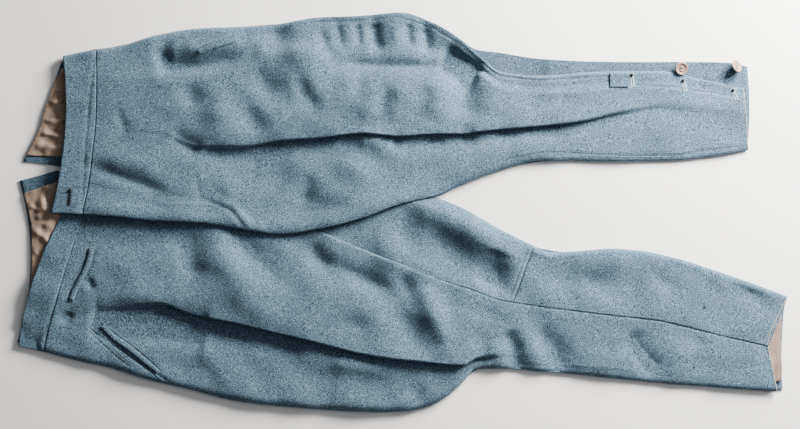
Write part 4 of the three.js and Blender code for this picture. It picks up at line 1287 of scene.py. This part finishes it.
# %% Right hem facing
HEM_OUTER = [
    (487, -112), (492.5, -126), (492.5, -146), (492, -165), (493, -186), (494, -204), (492.5, -218),
]
HEM_INNER = [
    (474, -114), (468, -126), (464, -146), (462, -165), (463, -186), (468, -204), (480, -219),
]
RIB_HEIGHT = 0.38
FACING_LIFT = 0.3
outer = route(HEM_OUTER, 1.5)
inner = resampled(route(HEM_INNER, 1.5), len(outer))
facing_rows = []
for part in np.linspace(0, 1, 26):
    line = mix(inner, outer, part)
    ribs = RIB_HEIGHT * np.abs(np.sin(np.pi * line[:, 1] / (RIB_PITCH / MM * 2)))
    wave = undulation(line[:, 0], line[:, 1], 51, 0.5, 40.0, 14.0)
    height = BACK_TOP + SEAM_GAP + FACING / 2 + FACING_LIFT + ribs + np.maximum(wave, -0.2)
    facing_rows.append(np.stack([line[:, 0], line[:, 1], height], axis=1))
add_cloth(
    "hem_facing_right_cloth", np.array(facing_rows), FACING * 0.7, "facing", ribbed,
    ["hem_facing_right"],
)

# %% [markdown]
# Pocket welts and lips are narrow folded strips that stand up from the panel by their own
# thickness. Each follows a line drawn on the panel and takes its height from the face below.

# %% Welts and lips
WELT_WIDTH = 6.5
LIP_WIDTH = 5.5
STRIP_THICKNESS = 1.3
STRIP_LIFT = SEAM_GAP + STRIP_THICKNESS / 2


def strip_grid(line, width, crown=0.45, columns=11, step=1.2):
    centres = route(line, step)
    ahead = np.gradient(centres, axis=0)
    ahead /= np.linalg.norm(ahead, axis=1, keepdims=True)
    rows = []
    for (x, y), (dx, dy) in zip(centres, ahead):
        row = []
        for part in np.linspace(1, -1, columns):
            px, py = x - dy * part * width / 2, y + dx * part * width / 2
            height = face_under(px, py)[0].z / MM + STRIP_LIFT + crown * (1 - part**4)
            row.append((px, py, height))
        rows.append(row)
    return np.array(rows)


WATCH_WELT = [(-402, -47), (-404, -58), (-409, -72), (-415, -84), (-423, -99), (-428, -112)]
SLANT_LIP = [(-388, -146), (-374, -160), (-354, -174), (-334, -190), (-316, -206)]
LEFT_LIP = [(-262, 208), (-240, 216), (-214, 224)]
PLACKET_PATCH = [(270, 172), (282, 172), (294, 172)]
PATCH_WIDTH = 18
strips = [
    ("watch_pocket_welt", WATCH_WELT, WELT_WIDTH, "wool", wool,
     "watch_pocket_welt_right", "front_right_cloth", (0.012, 0.08)),
    ("side_pocket_lip_right_cloth", SLANT_LIP, LIP_WIDTH, "wool", wool,
     "side_pocket_lip_right", "front_right_cloth", (0.011, 0.1)),
    ("side_pocket_lip_left_cloth", LEFT_LIP, LIP_WIDTH, "wool", wool,
     "side_pocket_lip_left", "front_left_cloth", (0.011, 0.06)),
    ("placket_facing", PLACKET_PATCH, PATCH_WIDTH, "facing", wool_in_painted_shade,
     "placket_facing_left", "front_left_cloth", (0.025, 0.03)),
]
for name, line, width, slot, material, node, under, flat in strips:
    add_cloth(name, strip_grid(line, width), STRIP_THICKNESS, slot, material, [node])

# %% [markdown]
# ## Stitches
# Topstitching is thread sunk into the cloth at an even pitch. Each stitch is a small bead that lies
# along the seam, and one mesh holds all stitches of a thread. A line in the material could show
# them too, but it would have no thickness and catch no light.

# %% One bead for each stitch
BEAD_RING = 6
STITCH_PITCH = 2.7


def bead_shape():
    rings = [(-1.0, 0.0), (-0.62, 0.8), (0.0, 1.0), (0.62, 0.8), (1.0, 0.0)]
    points = [(-1.0, 0.0, 0.0)]
    for along, out in rings[1:-1]:
        for turn in range(BEAD_RING):
            angle = 2 * math.pi * turn / BEAD_RING
            points.append((along, out * math.cos(angle), out * math.sin(angle)))
    points.append((1.0, 0.0, 0.0))
    last = len(points) - 1
    faces = []
    for turn in range(BEAD_RING):
        after = (turn + 1) % BEAD_RING
        faces.append((0, 1 + after, 1 + turn))
        for ring in range(2):
            low, high = 1 + ring * BEAD_RING, 1 + (ring + 1) * BEAD_RING
            faces.append((low + turn, low + after, high + after, high + turn))
        faces.append((last, last - BEAD_RING + turn, last - BEAD_RING + after))
    return np.array(points), faces


def stitch(x, y, heading, length, width, tree=None):
    place, normal = face_under(x, y, tree)
    along = Vector((math.cos(heading), math.sin(heading), 0))
    along = (along - normal * along.dot(normal)).normalized()
    return place, along, normal, length / 2, width / 2


def stitch_line(points, tree=None, pitch=STITCH_PITCH, length=2.0, width=0.62):
    line = route(points, pitch)
    ahead = np.gradient(line, axis=0)
    return [
        stitch(x, y, math.atan2(dy, dx), length, width, tree) for (x, y), (dx, dy) in zip(line, ahead)
    ]


def stitch_lines(rows):
    return [made for row in rows for made in stitch_line(*row)]


def sew(name, stitches, material, slot="wool"):
    shape, shape_faces = bead_shape()
    points, faces = [], []
    for place, along, normal, half, radius in stitches:
        across = normal.cross(along)
        axes = np.array([along * half, across * radius, normal * radius * 0.8]) * MM
        first = len(points)
        points.extend(np.array(place) + shape @ axes + np.array(normal) * radius * 0.35 * MM)
        faces.extend(tuple(first + corner for corner in face) for face in shape_faces)
    mesh = bpy.data.meshes.new(name)
    mesh.from_pydata([tuple(point) for point in points], [], faces)
    smooth_faces(mesh)
    mesh.materials.append(material)
    take_place(add_object(name, mesh), slot)
    print(name, "stitches:", len(stitches))


# %% Seams of the left leg
def inside_edge(panel, side, inset, first, last, step=26.0):
    ends = np.linspace(0, len(panel["xUp"]) - 1, 400)
    xs, ys = smooth_at(panel["x" + side], ends), smooth_at(panel["y" + side], ends)
    places = np.linspace(first, last, max(int((last - first) / step), 2))
    inward = -inset if side == "Up" else inset
    return [(x, float(np.interp(x, xs, ys)) + inward) for x in places]


left_face = tree_of([made_pieces["front_left_cloth"]])
right_face = tree_of([made_pieces["front_right_cloth"]])
left_seams = stitch_lines([
    ([(-410, 31), (-392, 31), (-340, 25), (-314, 21), (-262, 18), (-240, 14), (-222, 5),
      (-211, -8), (-202, -20)],),
    ([(307, 165), (352, 163), (388, 157), (434, 151)],),
    (inside_edge(FRONT_LEFT, "Up", 6.0, -132, 268), left_face),
    (inside_edge(FRONT_LEFT, "Up", 10.5, 46, 128), left_face),
    ([(-266, 215), (-240, 224), (-206, 235)], left_face),
    (inside_edge(FRONT_LEFT, "Low", 7.5, 130, 438), None, 3.4, 1.6, 0.45),
    ([(438, 156), (440, 130), (443, 108), (444, 92)],),
])
sew("topstitching_left_leg", left_seams, thread_blue)

# %% Seams of the right leg
knee = [(170, -45), (161, -68), (152, -92), (145, -112)]
right_seams = stitch_lines([
    ([(x - 2.2, y) for x, y in knee],),
    ([(x - 6.5, y - 1.5) for x, y in knee],),
    ([(-408, -148), (-392, -163), (-379, -174), (-366, -186), (-351, -197)], right_face),
    ([(-380, -146), (-366, -158), (-346, -172), (-327, -188), (-311, -203)], right_face),
    ([(-407, -45), (-396, -44)], None, 1.0, 1.8),
    ([(-433, -113), (-422, -115)], None, 1.0, 1.8),
    ([(-446, -29), (-420, -29), (-397, -29)], None, 3.2, 1.6, 0.5),
    ([(84, -209), (90, -204), (97, -200)],),
    ([(494, -114), (488, -124), (481, -142), (474, -160), (469, -172)],),
    ([(469, -180), (472, -196), (478, -212), (482, -226)],),
])
sew("topstitching_right_leg", right_seams, thread_blue)

# %% Painted seam shadows: dark beads along the sunken seams stand for the shade in their grooves
SEAM_SHADOW_PITCH = 1.4
SEAM_SHADOW_LENGTH = 2.3
seam_shadow_rows = [
    (0.5, None, [(128, 66), (154, 70), (180, 75), (206, 76), (258, 73), (310, 72), (362, 73),
                 (388, 77), (444, 85)]),
    (0.45, right_face, [(-409, -150), (-392, -165), (-366, -188), (-350, -199)]),
    (0.6, right_face, [(-406, -47), (-409, -60), (-414, -74), (-420, -86), (-428, -101), (-433, -113)]),
    (0.45, right_face, [(-397, -47), (-400, -58), (-404, -71), (-410, -84), (-418, -99), (-423, -112)]),
    (0.9, right_face, [(-404, -149), (-378, -168), (-350, -187), (-330, -202), (-306, -220)]),
    (0.55, right_face, [(-391, -142), (-372, -156), (-349, -172), (-326, -190), (-310, -205)]),
    (0.4, None, [(-262, 10), (-240, 7), (-226, -2), (-214, -16), (-206, -24)]),
    (0.4, None, [(-396, 176), (-366, 181), (-340, 188), (-314, 193)]),
    (0.4, None, [(-435, 176), (-400, 176)]),
    (0.5, None, [(165, -45), (156, -68), (147, -92), (140, -111)]),
    (0.5, None, [(172, -46), (163, -69), (154, -93), (147, -112)]),
    (0.5, None, [(-109, -21.5), (-54, -44.5), (-2, -64.5), (50, -85.5), (92, -98.5), (128, -111.5),
                 (180, -119.5), (258, -129.5), (336, -138.5), (414, -157.5), (472, -171)]),
]
seam_shadow_beads = stitch_lines(
    [(line, tree, SEAM_SHADOW_PITCH, SEAM_SHADOW_LENGTH, width) for width, tree, line in seam_shadow_rows]
)
sew("painted_seam_shadows", seam_shadow_beads, seam_shadow_paint)
# The moth holes are two dark beads of painted shade, not openings in the cloth.
painted_moth_hole_shade = [stitch(393, -122, 0.3, 2.6, 2.2), stitch(379, -200, 0.3, 2.6, 2.2)]
sew("painted_moth_hole_shade", painted_moth_hole_shade, opening_painted_shade)

# %% Hem edges
HEM_PITCH = 1.5
HEM_LENGTH = 2.2


def hem_line(panel, inset):
    section = section_at(panel, len(panel["xUp"]) - 1)
    across = np.linspace(section["yUp"] - 1, section["yLow"] + 1, 9)
    return [(across_x(section, y) - inset, y) for y in across]


hem_edges = stitch_lines([
    (hem_line(FRONT_LEFT, 0.3), None, HEM_PITCH, HEM_LENGTH, 0.9),
    (hem_line(FRONT_RIGHT, 0.3), None, HEM_PITCH, HEM_LENGTH, 1.0),
    ([(500, -110), (492, -124), (485, -140), (478, -156), (475, -170)], None, HEM_PITCH, HEM_LENGTH, 1.0),
])
sew("hem_edges", hem_edges, edge_cord, "facing")

# %% Felling stitches of the linings
felled_edges = [
    [(x + 1.2, y) for x, y in LINING_LEFT["out"]],
    [(x + 1.2, y) for x, y in LINING_RIGHT["out"]],
    [(-484, 75), (-460, 73), (-436, 73)],
    [(-487, 26), (-466, 33), (-446, 39)],
]
felling = stitch_lines([(line, None, 4.6, 3.2, 1.1) for line in felled_edges])
sew("felling_stitches", felling, thread_dark, "sateen")

# %% [markdown]
# A buttonhole is a slit whose edges are overcast with close stitches, with a round eye where the
# button's shank sits. Slit and eye are dark beads of painted shade; the stitches stand across the slit.

# %% Buttonholes
def buttonhole(eye, end, eye_radius, fray=0.0, seed=1):
    random = np.random.default_rng(seed)
    eye, end = np.array(eye, float), np.array(end, float)
    span = end - eye
    length = np.hypot(*span)
    ahead = span / length
    side = np.array([-ahead[1], ahead[0]])
    heading = math.atan2(side[1], side[0])
    forward = math.atan2(ahead[1], ahead[0])
    made = []
    for reach in np.arange(eye_radius, length, 0.75):
        for hand in (1, -1):
            x, y = eye + ahead * reach + side * hand * 1.35
            slant = heading + random.normal(0, 0.12 + fray)
            made.append(stitch(x, y, slant, 2.2 + fray * random.random(), 0.8))
    for turn in np.arange(0.6, 2 * math.pi - 0.6, 0.5):
        way = forward + turn
        x, y = eye + np.array([math.cos(way), math.sin(way)]) * (eye_radius + 0.9)
        made.append(stitch(x, y, way, 1.8, 0.62))
    for step in (-0.8, 0.0, 0.8):
        x, y = end + side * step
        made.append(stitch(x, y, forward, 1.6, 0.62))
    # The slit and the eye are painted shade: dark beads where the opening would show its shadow.
    reaches = np.arange(eye_radius * 0.5, length - 0.6, 1.3)
    slit_shade = [stitch(*(eye + ahead * reach), forward, 2.6, 1.25) for reach in reaches]
    slit_shade += [stitch(*eye, 0.0, 2.2 * eye_radius, 2.2 * eye_radius)]
    return made, slit_shade


ankle_holes = [((298, 178.5), (300, 165)), ((365, 171.5), (368.5, 158.5)), ((430, 159), (434.5, 147))]
overcast, slit_shades = [], []
for place, (eye, end) in enumerate(ankle_holes):
    around, inside = buttonhole(eye, end, 2.0, seed=place)
    overcast += around
    slit_shades += inside
around, inside = buttonhole((-429, 29), (-430.5, 10), 2.0, fray=0.55, seed=9)
sew("buttonhole_stitches", overcast, thread_pale)
sew("fly_tab_buttonhole_stitches", around, thread_dark)
sew("buttonhole_slit_painted_shade", slit_shades + inside, opening_painted_shade)

# %% [markdown]
# ## Ankle buttons
# The buttons are pressed from a brown composition, with a rounded rim, a dished middle and four
# holes. Each is turned from a profile, drilled by a boolean and sewn on with a wound thread shank.

# %% The pressed disc
BUTTON_RADIUS = 8.5
BUTTON_HALF = 1.4
BUTTON_HOLE = 1.0
BUTTON_HOLE_SPREAD = 1.75
BUTTON_BEVEL = 0.18
SPOKES = 72
# Across as a part of the radius and up as a part of the half thickness, from below to above.
BUTTON_PROFILE = [
    (0, -1), (0.5, -1), (0.8, -0.8), (0.95, -0.35), (1, 0), (0.985, 0.5), (0.94, 0.85), (0.87, 1),
    (0.79, 0.92), (0.71, 0.62), (0.64, 0.32), (0.54, 0.2), (0, 0.12),
]


def turned(name, material):
    mesh = bpy.data.meshes.new(name)
    work = bmesh.new()
    rings = []
    for out, rise in BUTTON_PROFILE:
        across, up = BUTTON_RADIUS * MM * out, BUTTON_HALF * MM * rise
        angles = np.linspace(0, 2 * math.pi, SPOKES if across else 1, endpoint=False)
        rings.append([work.verts.new((across * math.cos(a), across * math.sin(a), up)) for a in angles])
    for low, high in zip(rings[:-1], rings[1:]):
        for spoke in range(SPOKES):
            after = (spoke + 1) % SPOKES
            corners = [low[spoke % len(low)], low[after % len(low)]]
            corners += [high[after % len(high)], high[spoke % len(high)]]
            work.faces.new(list(dict.fromkeys(corners)))
    bmesh.ops.recalc_face_normals(work, faces=work.faces)
    work.to_mesh(mesh)
    work.free()
    mesh.materials.append(material)
    return add_object(name, mesh)


def drill(disc, x, y):
    bpy.ops.mesh.primitive_cylinder_add(vertices=20, radius=BUTTON_HOLE * MM, depth=0.01)
    tool = bpy.context.object
    tool.location = (x * BUTTON_HOLE_SPREAD * MM, y * BUTTON_HOLE_SPREAD * MM, 0)
    cut = disc.modifiers.new("hole", "BOOLEAN")
    cut.object = tool
    cut.operation = "DIFFERENCE"
    cut.solver = "EXACT"
    bpy.context.view_layer.objects.active = disc
    bpy.context.view_layer.update()
    bpy.ops.object.modifier_apply(modifier="hole")
    bpy.data.objects.remove(tool)


def pressed_disc(name, node, place, turn):
    disc = turned(name, composition)
    for x, y in ((1, 1), (1, -1), (-1, 1), (-1, -1)):
        drill(disc, x, y)
    bevel = disc.modifiers.new("soft_edges", "BEVEL")
    bevel.width = BUTTON_BEVEL * MM
    bevel.segments = 2
    bevel.limit_method = "ANGLE"
    smooth_faces(disc.data)
    disc.matrix_world = Matrix.Translation(place) @ turn.to_4x4()
    take_place(disc, "button", node)


# %% The thread through the holes and down the shank
THREAD_RADIUS = 0.42
THREAD_SHIFT = 0.3
SHANK_TOP = 1.3
SHANK_FOOT = 1.9
WINDS = 6
WIND_POINTS = 12


def thread_loops(curve, place, turn):
    out, h = BUTTON_HOLE_SPREAD * MM, BUTTON_HALF * MM
    for side in (1, -1):
        for shift in (-THREAD_SHIFT, THREAD_SHIFT):
            y = side * out + shift * MM
            loop = [(-out, y, -h), (-out, y, h * 0.5), (0, y, h * 0.95), (out, y, h * 0.5), (out, y, -h)]
            spline = curve.splines.new("BEZIER")
            spline.bezier_points.add(len(loop) - 1)
            for knot, at in zip(spline.bezier_points, loop):
                knot.co = place + turn @ Vector(at)
                knot.handle_left_type = knot.handle_right_type = "AUTO"


def wound_shank(curve, top, foot):
    steps = WINDS * WIND_POINTS
    spline = curve.splines.new("POLY")
    spline.points.add(steps)
    for step, knot in enumerate(spline.points):
        angle = 2 * math.pi * step / WIND_POINTS
        radius = mix(SHANK_TOP, SHANK_FOOT, step / steps) * MM
        centre = top.lerp(foot, step / steps)
        knot.co = (*(centre + Vector((radius * math.cos(angle), radius * math.sin(angle), 0))), 1)


def button(name, node, x, y, z, tilt):
    place = lay_point(x, y, z)
    turn = Euler((tilt[0], tilt[1], 0)).to_matrix()
    pressed_disc(name, node, place, turn)
    curve = bpy.data.curves.new(name + "_thread", "CURVE")
    curve.dimensions = "3D"
    curve.bevel_depth = THREAD_RADIUS * MM
    curve.bevel_resolution = 3
    thread_loops(curve, place, turn)
    foot = face_under(x, y, back_face)[0] + Vector((0, 0, 0.4 * MM))
    wound_shank(curve, place + turn @ Vector((0, 0, -BUTTON_HALF * MM)), foot)
    curve.materials.append(thread_button)
    take_place(add_object(name + "_thread", curve), "button")


back_face = tree_of([made_pieces["back_left_cloth"]])
button("ankle_button_upper", "ankle_button_1", 363, 187, 8.2, (0.1, 0.08))
button("ankle_button_lower", "ankle_button_2", 434, 190, 9.6, (-0.35, 0.7))

# %% [markdown]
# ## Table, light and camera
# The breeches lie on a plain pale table. A large soft lamp stands off the far side, as in the
# picture, where every ridge is bright towards the top and the laps throw their shade downwards. A
# weak wide lamp above keeps the shadows open. The camera looks straight down.

# %% Table
TABLE_HALF = 2.0
corners = [(x * TABLE_HALF, y * TABLE_HALF, 0) for x, y in ((-1, -1), (1, -1), (1, 1), (-1, 1))]
table_mesh = bpy.data.meshes.new("table")
table_mesh.from_pydata(corners, [], [(0, 1, 2, 3)])
table_top = add_object("table", table_mesh)
table_finish, _, table_surface = start_material("pale_table")
table_surface.inputs["Base Color"].default_value = linear("#fafafa")
table_surface.inputs["Roughness"].default_value = 0.9
table_mesh.materials.append(table_finish)

# %% Lamps
KEY_PLACE, KEY_SIZE, KEY_POWER = (1.0, 0.86, 0.5), (0.75, 0.5), 147.0
TOP_PLACE, TOP_SIZE, TOP_POWER = (1.2, 0.6, 1.9), (1.4, 1.4), 9.0
ROOM_LIGHT = 0.14


def area_lamp(name, place, target, size, power, colour):
    data = bpy.data.lights.new(name, "AREA")
    data.shape = "RECTANGLE"
    data.size, data.size_y = size
    data.energy = power
    data.color = linear(colour)[:3]
    lamp = add_object(name, data)
    lamp.location = place
    lamp.rotation_euler = (Vector(target) - Vector(place)).to_track_quat("-Z", "Y").to_euler()


middle = Vector(((cad_box[0][0] + cad_box[1][0]) / 2, (cad_box[0][1] + cad_box[1][1]) / 2, 0))
area_lamp("key_lamp", middle + Vector(KEY_PLACE), middle, KEY_SIZE, KEY_POWER, "#fffaf2")
area_lamp("top_lamp", middle + Vector(TOP_PLACE), middle, TOP_SIZE, TOP_POWER, "#f4f8ff")

world = bpy.data.worlds.new("studio")
world.use_nodes = True
world.node_tree.nodes["Background"].inputs["Color"].default_value = (1.0, 1.0, 1.0, 1.0)
world.node_tree.nodes["Background"].inputs["Strength"].default_value = ROOM_LIGHT
bpy.context.scene.world = world

# %% Camera
PHOTO_WIDTH = 800
MM_PER_PIXEL = 1.3
PHOTO_CENTRE_X = -1.95
PHOTO_CENTRE_Y = -1.95
CAMERA_HEIGHT = 2.6
SENSOR = 36.0
camera_data = bpy.data.cameras.new("camera")
camera_data.sensor_width = SENSOR
seen_width = PHOTO_WIDTH * MM_PER_PIXEL * MM
camera_data.lens = SENSOR * CAMERA_HEIGHT / seen_width
camera = add_object("camera", camera_data)
camera.location = (
    (LAY_X + PHOTO_CENTRE_X) * MM,
    (LAY_Y + PHOTO_CENTRE_Y) * MM,
    CAMERA_HEIGHT,
)
bpy.context.scene.camera = camera
print("camera lens, mm:", round(camera_data.lens, 1))
